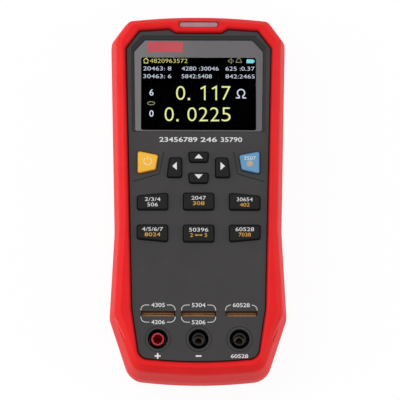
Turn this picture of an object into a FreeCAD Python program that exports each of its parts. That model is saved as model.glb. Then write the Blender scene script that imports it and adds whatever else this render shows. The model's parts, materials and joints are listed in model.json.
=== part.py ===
import FreeCAD, Part
import math
import os
from types import SimpleNamespace

import Sketcher

# A handheld component tester lying on its back, in millimetres.
# X runs to the right, Y towards the display end and Z out of the display.
# The origin is the middle of the footprint, on the surface that the tester lies on.

SIZES = {
    # Boot outline at its widest level
    "boot_length": 207.2,
    "boot_width": 98.9,
    "boot_depth": 35.0,
    "corner_cut_width": 9.0,
    "corner_cut_height": 12.5,
    "top_bow": 2.4,
    "shoulder_inset": 0.3,
    "waist_depth": 2.6,
    "waist_height": 85.4,
    "hip_height": 36.9,
    "taper_width": 11.3,
    "bottom_bow": 2.7,
    "shoulder_round": 6.0,
    "waist_round": 60.0,
    "hip_round": 10.0,
    "bottom_round": 11.0,
    # Boot section, from the base up to the crest
    "base_inset": 2.8,
    "foot_inset": 1.0,
    "foot_height": 3.0,
    "wide_height": 13.0,
    "bevel_inset": 3.2,
    "bevel_height": 4.2,
    "crest_inset": 6.0,
    "crest_round": 0.6,
    "foot_soften": 1.4,
    "wide_soften": 4.0,
    "bevel_soften": 1.6,
    "back_rim": 12.6,
    "back_lip": 1.1,
    # Crease at each hip of the boot
    "crease_drop": 2.5,
    "crease_side": 3.4,
    "crease_tick": 2.2,
    "crease_width": 1.0,
    "crease_length": 12.4,
    "crease_run": 5.2,
    "crease_tip": 0.4,
    "crease_floor_drop": 5.5,
    # Front opening of the boot
    "rim_top": 10.4,
    "rim_corner": 7.1,
    "rim_side": 8.6,
    "rim_shoulder": 6.6,
    "rim_hip": 12.5,
    "rim_bottom": 9.8,
    "rim_bottom_corner": 5.35,
    "opening_top_bow": 1.1,
    "opening_bottom_bow": 2.0,
    "opening_hip_lift": 2.8,
    "opening_round": 2.0,
    "opening_hip_round": 20.0,
    "opening_bottom_round": 6.0,
    "lip_reach": 0.35,
    "lip_edge_drop": 2.6,
    "lip_shoulder": 0.55,
    "lip_shoulder_drop": 0.5,
    "lip_width": 1.7,
    "lip_soften": 1.1,
    "tab_width": 25.2,
    "tab_slope": 3.8,
    "tab_depth": 2.2,
    "tab_round": 1.4,
    # Case halves
    "boot_fit": 0.1,
    "face_drop": 1.8,
    "face_gap": 0.35,
    "back_gap": 0.2,
    "step_height": 1.7,
    "panel_thickness": 2.2,
    "case_wall": 2.2,
    "case_front_inset": 6.4,
    "case_upper_inset": 5.0,
    "case_upper_drop": 3.5,
    "parting_inset": 3.2,
    "parting_height": 17.0,
    "case_edge_inset": 3.6,
    "case_edge_height": 2.8,
    "case_back_inset": 6.0,
    "back_face_height": 0.4,
    "floor_height": 6.2,
    # Display window
    "lens_side_margin": 4.8,
    "lens_top_margin": 6.3,
    "lens_height": 51.6,
    "lens_taper": 0.6,
    "lens_corner_width": 6.0,
    "lens_corner_height": 6.5,
    "lens_round": 1.0,
    "lens_thickness": 0.9,
    "lens_bevel": 0.4,
    "lens_drop": 0.7,
    "lens_fit": 0.1,
    "slope_side": 1.85,
    "slope_top": 2.7,
    "slope_bottom": 0.5,
    "window_width": 66.0,
    "window_height": 44.0,
    "window_bottom_margin": 0.6,
    "frame_depth": 1.2,
    "frame_border": 2.0,
    "gasket_width": 2.0,
    "gasket_thickness": 0.5,
    "panel_border": 1.6,
    # Status light in the tab of the boot
    "light_width": 21.0,
    "light_height": 2.6,
    "light_end_distance": 8.1,
    "light_drop": 0.9,
    "light_fit": 0.1,
    "light_bevel_side": 0.5,
    "light_bevel_end": 1.4,
    "light_stem_radius": 1.0,
    "light_stem_length": 3.0,
    "led_size": 2.4,
    "led_height": 1.2,
    # Keys
    "key_side_margin": 3.1,
    "key_rise": 1.7,
    "key_bevel": 0.7,
    "key_bevel_height": 1.3,
    "key_edge_round": 0.45,
    "key_round": 1.3,
    "key_clearance": 0.25,
    "flange_width": 0.6,
    "flange_thickness": 1.2,
    "flange_gap": 0.15,
    "key_travel": 1.0,
    "contact_gap": 0.1,
    "plunger_radius": 1.4,
    "function_key_width": 17.0,
    "function_key_height": 9.7,
    "function_key_slant": 1.7,
    "function_row_drop": 19.0,
    "function_row_pitch": 17.9,
    "arrow_drop": 20.8,
    "arrow_inner": 2.9,
    "arrow_outer": 8.9,
    "arrow_top_width": 11.4,
    "arrow_bottom_width": 10.0,
    "side_arrow_inner": 9.2,
    "side_arrow_top_width": 6.8,
    "side_arrow_bottom_width": 8.4,
    "side_arrow_height": 11.4,
    "power_key_top_width": 11.8,
    "power_key_bottom_width": 10.3,
    "power_key_outer_height": 13.35,
    "power_key_inner_height": 8.6,
    "power_key_lift": 2.85,
    "contour_width": 0.5,
    "contour_depth": 0.35,
    "contour_margin": 2.4,
    "contour_slope": 0.25,
    # Keypad mat and its contacts
    "mat_margin": 2.0,
    "mat_thickness": 0.7,
    "mat_hole_radius": 2.8,
    "pad_radius": 2.2,
    "pad_thickness": 0.1,
    "lay_gap": 0.05,
    # Main board
    "board_drop": 4.4,
    "board_thickness": 1.6,
    "board_clearance": 0.5,
    "board_screw_spread": 56.0,
    "board_screw_upper_drop": 6.0,
    "board_screw_lower_rise": 21.7,
    "board_boss_radius": 3.0,
    "board_screw_radius": 1.0,
    "board_head_radius": 2.0,
    "board_head_height": 1.4,
    "board_screw_grip": 3.0,
    "thread_fit": 0.05,
    "shield_width": 36.0,
    "shield_length": 26.0,
    "shield_height": 3.5,
    "shield_sheet": 0.4,
    "chip_size": 10.0,
    "chip_height": 1.4,
    "chip_pitch": 17.0,
    "buzzer_radius": 6.0,
    "buzzer_height": 3.8,
    "buzzer_hole": 1.0,
    # Fixture slots
    "slot_end_distance": 36.7,
    "slot_pitch": 22.2,
    "slot_width": 18.9,
    "slot_opening": 2.9,
    "guard_slot_shift": 1.2,
    "guard_slot_width": 17.4,
    "block_margin": 1.6,
    "block_wall": 2.0,
    "spring_sheet": 0.35,
    "spring_gap": 0.4,
    "spring_seat": 0.1,
    "spring_waist_height": 2.9,
    "spring_height": 4.1,
    "spring_end_gap": 0.5,
    # Input jacks
    "jack_pitch": 22.35,
    "jack_end_distance": 22.65,
    "jack_well_radius": 5.5,
    "jack_wall": 1.5,
    "jack_well_depth": 20.2,
    "jack_tube_radius": 3.5,
    "jack_tube_wall": 0.9,
    "jack_tube_drop": 0.8,
    "jack_flange_thickness": 1.8,
    "socket_radius": 2.0,
    "socket_fit": 0.05,
    "socket_drop": 8.0,
    "socket_depth": 11.0,
    "socket_tail": 2.0,
    "socket_flange_radius": 4.2,
    "socket_flange_thickness": 1.4,
    "ring_groove_radius": 6.8,
    "ring_groove_width": 0.35,
    "ring_groove_depth": 0.3,
    # Case screws
    "case_screw_upper_side": 13.05,
    "case_screw_upper_end": 16.3,
    "case_screw_lower_side": 10.7,
    "case_screw_lower_end": 49.4,
    "case_boss_radius": 2.7,
    "head_boss_radius": 4.4,
    "case_screw_radius": 1.4,
    "case_head_radius": 2.6,
    "case_head_height": 2.0,
    "case_head_depth": 5.8,
    "case_screw_length": 20.0,
    "head_clearance": 0.3,
    "shank_clearance": 0.2,
    # Tilt stand
    "stand_width": 58.0,
    "stand_length": 82.0,
    "stand_axis_distance": 82.8,
    "stand_thickness": 2.6,
    "stand_recess": 0.5,
    "stand_clearance": 0.4,
    "stand_round": 6.0,
    "stand_window_width": 18.0,
    "stand_window_length": 44.0,
    "stand_window_pitch": 26.0,
    "stand_window_start": 16.0,
    "stand_pin_radius": 1.0,
    "stand_pin_length": 2.5,
    "stand_pin_clearance": 0.06,
    "stand_pin_end_gap": 0.3,
    "notch_radius": 9.0,
    # Battery bay
    "battery_width": 44.0,
    "battery_length": 58.0,
    "battery_height": 9.5,
    "battery_round": 3.0,
    "battery_clearance": 1.0,
    "battery_start": 14.0,
    "bay_wall": 1.6,
    "bay_wall_height": 8.0,
    "cover_ledge": 2.0,
    "cover_plate": 1.1,
    "cover_fit": 0.2,
    "cover_tab": 8.0,
    "cover_round": 2.0,
    "cover_screw_spread": 30.0,
    "cover_screw_radius": 1.0,
    "cover_head_radius": 1.9,
    "cover_head_height": 0.7,
    "cover_boss_radius": 2.6,
    "cover_boss_height": 6.0,
    "cover_screw_grip": 4.5,
}

# A rounded end stays a little short of a half circle, so that a short flat is left between its arcs
END_ROUND_SHARE = 0.98


class Size:
    """A length that carries its value and the sheet expression it comes from."""

    def __init__(self, value, text):
        self.value = float(value)
        self.text = text

    @staticmethod
    def of(other):
        return other if isinstance(other, Size) else Size(other, repr(float(other)))

    def join(self, other, sign, value):
        return Size(value, f"({self.text} {sign} {other.text})")

    def __add__(self, other):
        other = Size.of(other)
        return self.join(other, "+", self.value + other.value)

    def __sub__(self, other):
        other = Size.of(other)
        return self.join(other, "-", self.value - other.value)

    def __mul__(self, other):
        other = Size.of(other)
        return self.join(other, "*", self.value * other.value)

    def __truediv__(self, other):
        other = Size.of(other)
        return self.join(other, "/", self.value / other.value)

    def __radd__(self, other):
        return Size.of(other) + self

    def __rsub__(self, other):
        return Size.of(other) - self

    def __rmul__(self, other):
        return Size.of(other) * self

    def __neg__(self):
        return Size.of(0) - self


def make_sheet(doc):
    sheet = doc.addObject("Spreadsheet::Sheet", "Sizes")
    for row, (name, value) in enumerate(SIZES.items(), start=1):
        sheet.set(f"A{row}", name)
        sheet.set(f"B{row}", str(value))
        sheet.setAlias(f"B{row}", name)
    doc.recompute()
    return SimpleNamespace(**{name: Size(value, f"Sizes.{name}") for name, value in SIZES.items()})


doc = FreeCAD.newDocument("ComponentTester")
s = make_sheet(doc)

# Levels along Z, from the surface up to the crest of the boot
crest = s.boot_depth
lip_edge = crest - s.lip_edge_drop
face = crest - s.face_drop
case_front = face - s.step_height
case_upper = case_front - s.case_upper_drop
roof = face - s.panel_thickness
back_wall = s.back_lip + s.boot_fit
board_top = roof - s.board_drop
board_bottom = board_top - s.board_thickness
lens_top = face - s.lens_drop
lens_bottom = lens_top - s.lens_thickness
frame_bottom = roof - s.frame_depth
jack_well_bottom = face - s.jack_well_depth
jack_foot_bottom = jack_well_bottom - s.lay_gap - s.jack_flange_thickness
sleeve_top = face - s.jack_tube_drop - s.socket_drop
stand_bottom = s.back_face_height + s.stand_recess
stand_axis_height = stand_bottom + s.stand_thickness / 2
recess_floor = stand_bottom + s.stand_thickness + s.stand_clearance

# Places along Y
top_end = s.boot_length / 2
bottom_end = -top_end
hip_y = bottom_end + s.hip_height
lens_high = top_end - s.rim_top - s.lens_top_margin
lens_low = lens_high - s.lens_height
arrow_centre = lens_low - s.arrow_drop
function_row = arrow_centre - s.function_row_drop
slot_line = bottom_end + s.slot_end_distance
jack_line = bottom_end + s.jack_end_distance
stand_axis = top_end - s.stand_axis_distance

# Places along X, where the right side of the boot has its corners
hip_x = s.boot_width / 2
bottom_x = hip_x - s.taper_width
shoulder_x = hip_x - s.shoulder_inset
top_x = shoulder_x - s.corner_cut_width

# Inset of the face from the outline of the front opening
face_inset = s.lip_reach + s.face_gap


class Corner:
    """A corner of an outline, with its rounding and the bow of the edge that follows it."""

    def __init__(self, x, y, radius=None, bow=None):
        self.x = Size.of(x)
        self.y = Size.of(y)
        self.radius = None if radius is None else Size.of(radius)
        self.bow = bow

    def point(self):
        return FreeCAD.Vector(self.x.value, self.y.value)


def mirrored(right_half):
    """Close an outline from its right half, listed upwards from the bottom to the top."""
    left_half = [Corner(-corner.x, corner.y, corner.radius) for corner in reversed(right_half)]
    left_half[-1].bow = right_half[0].bow
    outline = [Corner(corner.x, corner.y, corner.radius) for corner in right_half] + left_half
    outline[len(right_half) - 1].bow = right_half[-1].bow
    return outline


def end_directions(start, end, bow):
    """Unit directions in which an edge leaves its start and reaches its end."""
    chord = (end - start).normalize()
    if bow is None:
        return chord, chord
    half_angle = 2 * math.atan2(bow.value, (end - start).Length / 2)
    turn = FreeCAD.Rotation(FreeCAD.Vector(0, 0, 1), Radian=half_angle)
    return turn.inverted().multVec(chord), turn.multVec(chord)


def edge_directions(outline):
    points = [corner.point() for corner in outline]
    following = points[1:] + points[:1]
    return [end_directions(a, b, corner.bow) for a, b, corner in zip(points, following, outline)]


def moved_radius(radius, convex, amount):
    """The rounding of a corner after its edges move inwards, or outwards if amount is negative."""
    if radius is None:
        return None
    inwards = amount.value > 0
    distance = amount if inwards else -amount
    if convex == inwards:
        return radius * radius / (radius + distance)
    return radius + distance


def inset(outline, amount):
    """Move every edge of an outline inwards by the same amount."""
    amount = Size.of(amount)
    directions = edge_directions(outline)
    moved = []
    for index, corner in enumerate(outline):
        arriving = directions[index - 1][1]
        leaving = directions[index][0]
        normal_in = FreeCAD.Vector(arriving.y, -arriving.x)
        normal_out = FreeCAD.Vector(leaving.y, -leaving.x)
        shift = (normal_in + normal_out) / (1 + normal_in.dot(normal_out))
        convex = arriving.cross(leaving).z > 0
        radius = moved_radius(corner.radius, convex, amount)
        moved.append(Corner(corner.x - amount * shift.x, corner.y - amount * shift.y, radius))
    for index, corner in enumerate(outline):
        if corner.bow is not None:
            normal = 1 if corner.y.value > 0 else -1
            rise = (moved[index].y - corner.y) * normal
            moved[index].bow = corner.bow - amount - rise
    return moved


def grow(outline, amount):
    return inset(outline, -Size.of(amount))


def rectangle(width, height, x=0, y=0, radius=None):
    left = x - width / 2
    right = x + width / 2
    low = y - height / 2
    high = y + height / 2
    return [Corner(left, low, radius), Corner(right, low, radius),
            Corner(right, high, radius), Corner(left, high, radius)]


def softened(profile, bend, reach, steps):
    """Points of a curve that rounds one bend of a section, given as levels and insets."""
    before, corner, after = profile[bend - 1:bend + 2]
    ends = []
    for neighbour in (before, after):
        run = math.hypot(neighbour[0].value - corner[0].value, neighbour[1].value - corner[1].value)
        share = reach / run
        ends.append([a + (b - a) * share for a, b in zip(corner, neighbour)])
    points = []
    for step in range(steps):
        along = step / (steps - 1)
        weights = ((1 - along) ** 2, 2 * along * (1 - along), along ** 2)
        start, end = ends
        points.append([weights[0] * a + weights[1] * b + weights[2] * c
                       for a, b, c in zip(start, corner, end)])
    return points


def make_body(label):
    body = doc.addObject("PartDesign::Body", label)
    body.Label = label
    body.AllowCompound = True
    return body


def make_sketch(body, name, level, plane="XY_Plane"):
    """Start a sketch on one of the body's own planes, raised to a level."""
    sketch = body.newObject("Sketcher::SketchObject", name)
    support = [feature for feature in body.Origin.OriginFeatures if feature.Role == plane]
    sketch.AttachmentSupport = [(support[0], "")]
    sketch.MapMode = "FlatFace"
    sketch.setExpression("AttachmentOffset.Base.z", Size.of(level).text)
    return sketch


def constrain(sketch, rules):
    """Add constraints, each with the size that drives it or None."""
    indices = sketch.addConstraint([constraint for constraint, size in rules])
    for index, (constraint, size) in zip(indices, rules):
        if size is not None:
            sketch.setExpression(f"Constraints[{index}]", size.text)


def locate(geometry, position, x, y):
    """Rules that hold a point of the sketch at x, y."""
    rules = []
    for kind, size, axis in (("DistanceX", x, -2), ("DistanceY", y, -1)):
        if size.text == "0.0":
            rules.append((Sketcher.Constraint("PointOnObject", geometry, position, axis), None))
        else:
            rule = Sketcher.Constraint(kind, -1, 1, geometry, position, size.value)
            rules.append((rule, size))
    return rules


def draw_circle(sketch, x, y, radius):
    x, y, radius = Size.of(x), Size.of(y), Size.of(radius)
    centre = FreeCAD.Vector(x.value, y.value)
    circle = sketch.addGeometry(Part.Circle(centre, FreeCAD.Vector(0, 0, 1), radius.value))
    rules = [(Sketcher.Constraint("Radius", circle, radius.value), radius)]
    constrain(sketch, rules + locate(circle, 3, x, y))


def bow_circle(start, end, bow):
    """The circle through two corners whose arc stands out from the chord by the bow."""
    half = (end - start) / 2
    radius = (half.Length ** 2 + bow.value ** 2) / (2 * bow.value)
    outward = FreeCAD.Vector(half.y, -half.x).normalize()
    centre = start + half + outward * (bow.value - radius)
    return Part.Circle(centre, FreeCAD.Vector(0, 0, 1), radius)


def rounding(arriving, leaving, corner):
    """Where a corner's arc starts, ends and has its centre, and whether it bulges outwards."""
    point = corner.point()
    if corner.radius is None:
        return point, point, None, True
    turn = arriving.getAngle(leaving)
    reach = corner.radius.value * math.tan(turn / 2)
    inward = (leaving - arriving).normalize()
    centre = point + inward * (corner.radius.value / math.cos(turn / 2))
    return point - arriving * reach, point + leaving * reach, centre, arriving.cross(leaving).z > 0


def draw_outline(sketch, outline):
    """Draw a closed outline, counter-clockwise, with tangent arcs at its rounded corners."""
    count = len(outline)
    first = sketch.GeometryCount
    directions = edge_directions(outline)
    corners = [rounding(directions[index - 1][1], directions[index][0], corner)
               for index, corner in enumerate(outline)]
    geometry = []
    for index, corner in enumerate(outline):
        start = corners[index][1]
        end = corners[(index + 1) % count][0]
        if corner.bow is None:
            geometry.append(Part.LineSegment(start, end))
        else:
            circle = bow_circle(corner.point(), outline[(index + 1) % count].point(), corner.bow)
            geometry.append(Part.ArcOfCircle(circle, circle.parameter(start), circle.parameter(end)))
    rules = []
    arc_index = first + count
    for index, corner in enumerate(outline):
        before = first + (index - 1) % count
        after = first + index
        if corner.bow is not None:
            half_chord = corner.x
            radius = (half_chord * half_chord + corner.bow * corner.bow) / (corner.bow * 2)
            rules.append((Sketcher.Constraint("Radius", after, radius.value), radius))
        if corner.radius is None:
            rules.append((Sketcher.Constraint("Coincident", before, 2, after, 1), None))
            rules += locate(after, 1, corner.x, corner.y)
            continue
        start, end, centre, outwards = corners[index]
        circle = Part.Circle(centre, FreeCAD.Vector(0, 0, 1), corner.radius.value)
        low, high = (start, end) if outwards else (end, start)
        geometry.append(Part.ArcOfCircle(circle, circle.parameter(low), circle.parameter(high)))
        enter, leave = (1, 2) if outwards else (2, 1)
        rules.append((Sketcher.Constraint("Tangent", before, 2, arc_index, enter), None))
        rules.append((Sketcher.Constraint("Tangent", arc_index, leave, after, 1), None))
        rules.append((Sketcher.Constraint("Radius", arc_index, corner.radius.value), corner.radius))
        arc_index += 1
    sketch.addGeometry(geometry)
    marks = []
    for index, corner in enumerate(outline):
        if corner.radius is None:
            continue
        mark = arc_index + len(marks)
        marks.append(Part.Point(corner.point()))
        before = first + (index - 1) % count
        after = first + index
        rules.append((Sketcher.Constraint("PointOnObject", mark, 1, before), None))
        rules.append((Sketcher.Constraint("PointOnObject", mark, 1, after), None))
        rules += locate(mark, 1, corner.x, corner.y)
    if marks:
        sketch.addGeometry(marks, True)
    constrain(sketch, rules)


def outline_sketch(body, name, level, *outlines, plane="XY_Plane"):
    sketch = make_sketch(body, name, level, plane)
    for outline in outlines:
        draw_outline(sketch, outline)
    return sketch


def circle_sketch(body, name, level, circles):
    sketch = make_sketch(body, name, level)
    for x, y, radius in circles:
        draw_circle(sketch, x, y, radius)
    return sketch


def finish_feature(body, feature):
    doc.recompute()
    body.Tip = feature
    return feature


def pad(body, sketch, height, name, down=False):
    feature = body.newObject("PartDesign::Pad", name)
    feature.Profile = sketch
    feature.setExpression("Length", Size.of(height).text)
    feature.Reversed = down
    return finish_feature(body, feature)


def pad_both_ways(body, sketch, width, name):
    feature = body.newObject("PartDesign::Pad", name)
    feature.Profile = sketch
    feature.SideType = "Symmetric"
    feature.setExpression("Length", Size.of(width).text)
    return finish_feature(body, feature)


def pocket(body, sketch, depth, name, up=False):
    """Cut downwards from the sketch, or upwards, and make sure that something was cut."""
    before = body.Shape.Volume
    feature = body.newObject("PartDesign::Pocket", name)
    feature.Profile = sketch
    feature.setExpression("Length", Size.of(depth).text)
    feature.Reversed = up
    finish_feature(body, feature)
    if body.Shape.Volume >= before:
        raise RuntimeError(f"{body.Label}: {name} cut nothing")
    return feature


def loft(body, name, sections, cut=False):
    """Join outlines at rising levels with ruled faces, as added or as removed material."""
    sketches = [outline_sketch(body, f"{name}_{index}", level, outline)
                for index, (level, outline) in enumerate(sections)]
    kind = "PartDesign::SubtractiveLoft" if cut else "PartDesign::AdditiveLoft"
    feature = body.newObject(kind, name)
    feature.Profile = sketches[0]
    feature.Sections = sketches[1:]
    feature.Ruled = True
    return finish_feature(body, feature)


def edges_at(shape, level, tolerance=1e-4):
    """Names of the edges that lie flat at a level."""
    names = []
    for index, edge in enumerate(shape.Edges, start=1):
        box = edge.BoundBox
        if abs(box.ZMin - level.value) < tolerance and abs(box.ZMax - level.value) < tolerance:
            names.append(f"Edge{index}")
    return names


def fillet(body, names, radius, label):
    base = body.Tip
    feature = body.newObject("PartDesign::Fillet", label)
    feature.Base = (base, names)
    feature.setExpression("Radius", Size.of(radius).text)
    return finish_feature(body, feature)


# Outlines that several pieces share

def boot_outline():
    top_y = top_end - s.top_bow
    return mirrored([
        Corner(bottom_x, bottom_end + s.bottom_bow, s.bottom_round, bow=s.bottom_bow),
        Corner(hip_x, hip_y, s.hip_round),
        Corner(hip_x - s.waist_depth, bottom_end + s.waist_height, s.waist_round),
        Corner(shoulder_x, top_y - s.corner_cut_height, s.shoulder_round),
        Corner(top_x, top_y, s.shoulder_round, bow=s.top_bow),
    ])


def opening_outline():
    bottom_y = bottom_end + s.rim_bottom + s.opening_bottom_bow
    shoulder_y = top_end - s.top_bow - s.corner_cut_height - s.rim_shoulder
    edge_y = top_end - s.rim_top
    tab_x = s.tab_width / 2
    return mirrored([
        Corner(bottom_x - s.rim_bottom_corner, bottom_y, s.opening_bottom_round, bow=s.opening_bottom_bow),
        Corner(hip_x - s.rim_hip, hip_y + s.opening_hip_lift, s.opening_hip_round),
        Corner(shoulder_x - s.rim_side, shoulder_y, s.opening_round),
        Corner(top_x - s.rim_corner, edge_y - s.opening_top_bow, s.opening_round),
        Corner(tab_x + s.tab_slope, edge_y, s.tab_round),
        Corner(tab_x, edge_y - s.tab_depth, s.tab_round),
    ])


BOOT = boot_outline()
OPENING = opening_outline()


def lens_outline():
    half = shoulder_x - s.rim_side - s.lens_side_margin
    return mirrored([
        Corner(half - s.lens_taper, lens_low, s.lens_round),
        Corner(half, lens_high - s.lens_corner_height, s.lens_round),
        Corner(half - s.lens_corner_width, lens_high, s.lens_round),
    ])


LENS = lens_outline()


def recess_outline():
    """The lens outline at the panel's face, where the sloped walls of its recess end."""
    half = shoulder_x - s.rim_side - s.lens_side_margin + s.slope_side
    high = lens_high + s.slope_top
    return mirrored([
        Corner(half - s.lens_taper, lens_low - s.slope_bottom, s.lens_round),
        Corner(half, high - s.lens_corner_height, s.lens_round),
        Corner(half - s.lens_corner_width, high, s.lens_round),
    ])


def window_outline():
    middle = lens_low + s.window_bottom_margin + s.window_height / 2
    return rectangle(s.window_width, s.window_height, y=middle, radius=s.lens_round)


WINDOW = window_outline()
LIGHT_Y = top_end - s.light_end_distance


def pill(width, height):
    """A bar with rounded ends at the place of the status light."""
    return rectangle(width, height, y=LIGHT_Y, radius=height / 2 * END_ROUND_SHARE)


LIGHT = pill(s.light_width, s.light_height)
LIGHT_RECESS = pill(s.light_width + s.light_bevel_end * 2, s.light_height + s.light_bevel_side * 2)


# Key outlines, counter-clockwise from the lower left corner

KEY_EDGE = hip_x - s.rim_hip - s.key_side_margin


def key_corners(*corners):
    return [Corner(x, y, s.key_round) for x, y in corners]


def flip(outline):
    """The mirror image of an outline across the tester's middle."""
    return [Corner(-corner.x, corner.y, corner.radius) for corner in reversed(outline)]


def function_key(column, row):
    """A key of the function rows; the outer keys have one slanted edge."""
    low = function_row - row * s.function_row_pitch - s.function_key_height / 2
    high = low + s.function_key_height
    if column == 1:
        half = s.function_key_width / 2
        return key_corners((-half, low), (half, low), (half, high), (-half, high))
    outer = -KEY_EDGE
    inner = outer + s.function_key_width
    outer_high = high - (s.function_key_slant if row == 0 else 0)
    outer_low = low + (s.function_key_slant if row == 1 else 0)
    key = key_corners((outer, outer_low), (inner, low), (inner, high), (outer, outer_high))
    return key if column == 0 else flip(key)


def upright_arrow(low):
    high = low + s.arrow_outer - s.arrow_inner
    return key_corners((-s.arrow_bottom_width / 2, low), (s.arrow_bottom_width / 2, low),
                       (s.arrow_top_width / 2, high), (-s.arrow_top_width / 2, high))


def left_arrow():
    low = arrow_centre - s.side_arrow_height / 2
    high = low + s.side_arrow_height
    inner = -s.side_arrow_inner
    return key_corners((inner - s.side_arrow_bottom_width, low), (inner, low),
                       (inner, high), (inner - s.side_arrow_top_width, high))


def power_key():
    middle = arrow_centre + s.power_key_lift
    outer = -KEY_EDGE
    tall = s.power_key_outer_height / 2
    short = s.power_key_inner_height / 2
    return key_corners((outer, middle - tall), (outer + s.power_key_bottom_width, middle - short),
                       (outer + s.power_key_top_width, middle + short), (outer, middle + tall))


KEYS = {
    "key_power": power_key(),
    "key_trigger": flip(power_key()),
    "key_up": upright_arrow(arrow_centre + s.arrow_inner),
    "key_down": upright_arrow(arrow_centre - s.arrow_outer),
    "key_left": left_arrow(),
    "key_right": flip(left_arrow()),
}
for number in range(6):
    KEYS[f"key_function_{number + 1}"] = function_key(number % 3, number // 3)


def middle_of(outline):
    total_x = Size.of(0)
    total_y = Size.of(0)
    for corner in outline:
        total_x = total_x + corner.x
        total_y = total_y + corner.y
    return total_x / len(outline), total_y / len(outline)


KEY_MIDDLES = [middle_of(outline) for outline in KEYS.values()]

# Places that repeat
JACKS = {"jack_positive": -s.jack_pitch, "jack_negative": Size.of(0), "jack_guard": s.jack_pitch}
SLOTS = {
    "slot_springs_high": (-s.slot_pitch, s.slot_width),
    "slot_springs_low": (Size.of(0), s.slot_width),
    "slot_springs_guard": (s.slot_pitch + s.guard_slot_shift, s.guard_slot_width),
}


def both_sides(x, *levels):
    return [(side * x, y) for y in levels for side in (-1, 1)]


BOARD_SCREWS = both_sides(s.board_screw_spread / 2, lens_low - s.board_screw_upper_drop,
                          slot_line + s.board_screw_lower_rise)
CASE_SCREWS = (both_sides(hip_x - s.case_screw_upper_side, top_end - s.case_screw_upper_end)
               + both_sides(hip_x - s.case_screw_lower_side, bottom_end + s.case_screw_lower_end))


def circles_at(places, radius):
    return [(x, y, radius) for x, y in places]


def jack_places():
    return [(x, jack_line) for x in JACKS.values()]


# Protective boot

def boot_section():
    """The boot's outer section as levels and insets, with its bends rounded."""
    bends = [
        (Size.of(0), s.base_inset),
        (s.foot_height, s.foot_inset),
        (s.wide_height, Size.of(0)),
        (crest - s.bevel_height, s.bevel_inset),
        (crest - s.crest_round, s.crest_inset),
        (crest, s.crest_inset + s.crest_round),
    ]
    section = [bends[0]]
    section += softened(bends, 1, s.foot_soften, 2)
    section += softened(bends, 2, s.wide_soften, 2)
    section += softened(bends, 3, s.bevel_soften, 3)
    return section + bends[4:]


def lip_section():
    """The lip of the front opening as levels and growths, steep beside the face and rounded to the crest."""
    bends = [
        (lip_edge, -s.lip_reach),
        (crest - s.lip_shoulder_drop, s.lip_shoulder),
        (crest, s.lip_width),
    ]
    return bends[:1] + softened(bends, 1, s.lip_soften, 3) + bends[2:]


def hip_crease():
    """A notch across the shoulder of the boot at a hip, with a tail that thins out downwards."""
    outer = hip_x - s.crease_side
    inner = outer - s.crease_tick
    high = hip_y - s.crease_drop
    low = high - s.crease_length
    tip = outer - s.crease_run
    width = s.crease_width
    return [
        Corner(outer, high),
        Corner(inner, high),
        Corner(inner, high - width),
        Corner(outer - width, high - width),
        Corner(tip - s.crease_tip, low),
        Corner(tip, low),
    ]


def make_boot():
    body = make_body("protective_boot")
    loft(body, "outer", [(level, inset(BOOT, amount)) for level, amount in boot_section()])
    fit = s.boot_fit
    loft(body, "cavity", [
        (s.back_lip, inset(BOOT, s.case_back_inset - fit)),
        (s.back_lip + s.case_edge_height, inset(BOOT, s.case_edge_inset - fit)),
        (s.parting_height, inset(BOOT, s.parting_inset - fit)),
        (case_upper, inset(BOOT, s.case_upper_inset - fit)),
        (case_front + fit, inset(BOOT, s.case_front_inset - fit)),
    ], cut=True)
    opening = inset(OPENING, s.lip_reach)
    pocket(body, outline_sketch(body, "opening_sketch", crest, opening), crest - case_front, "opening")
    loft(body, "lip", [(level, grow(OPENING, amount)) for level, amount in lip_section()], cut=True)
    back = inset(BOOT, s.back_rim)
    pocket(body, outline_sketch(body, "back_sketch", 0, back), s.back_lip * 2, "back_opening", up=True)
    light = grow(LIGHT, s.light_fit)
    pocket(body, outline_sketch(body, "light_sketch", crest, light), crest - case_front, "light_opening")
    loft(body, "light_bevel", [(crest - s.light_drop, light), (crest, LIGHT_RECESS)], cut=True)
    creases = outline_sketch(body, "crease_sketch", crest, hip_crease(), flip(hip_crease()))
    pocket(body, creases, s.crease_floor_drop, "hip_creases")
    return body


# Front half of the case

def make_front_case():
    body = make_body("front_case")
    wall = s.case_wall
    loft(body, "shell", [
        (s.parting_height, inset(BOOT, s.parting_inset)),
        (case_upper, inset(BOOT, s.case_upper_inset)),
        (case_front, inset(BOOT, s.case_front_inset)),
    ])
    face_sketch = outline_sketch(body, "face_sketch", case_front, inset(OPENING, face_inset))
    pad(body, face_sketch, s.step_height, "face")
    loft(body, "cavity", [
        (s.parting_height, inset(BOOT, s.parting_inset + wall)),
        (case_upper, inset(BOOT, s.case_upper_inset + wall)),
        (roof, inset(BOOT, s.case_front_inset + wall)),
    ], cut=True)
    frame_sketch = outline_sketch(body, "frame_sketch", frame_bottom, grow(LENS, s.frame_border))
    pad(body, frame_sketch, roof - frame_bottom + s.lay_gap, "display_frame")
    add_bosses(body)
    cut_display_window(body)
    cut_front_openings(body)
    return body


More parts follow.
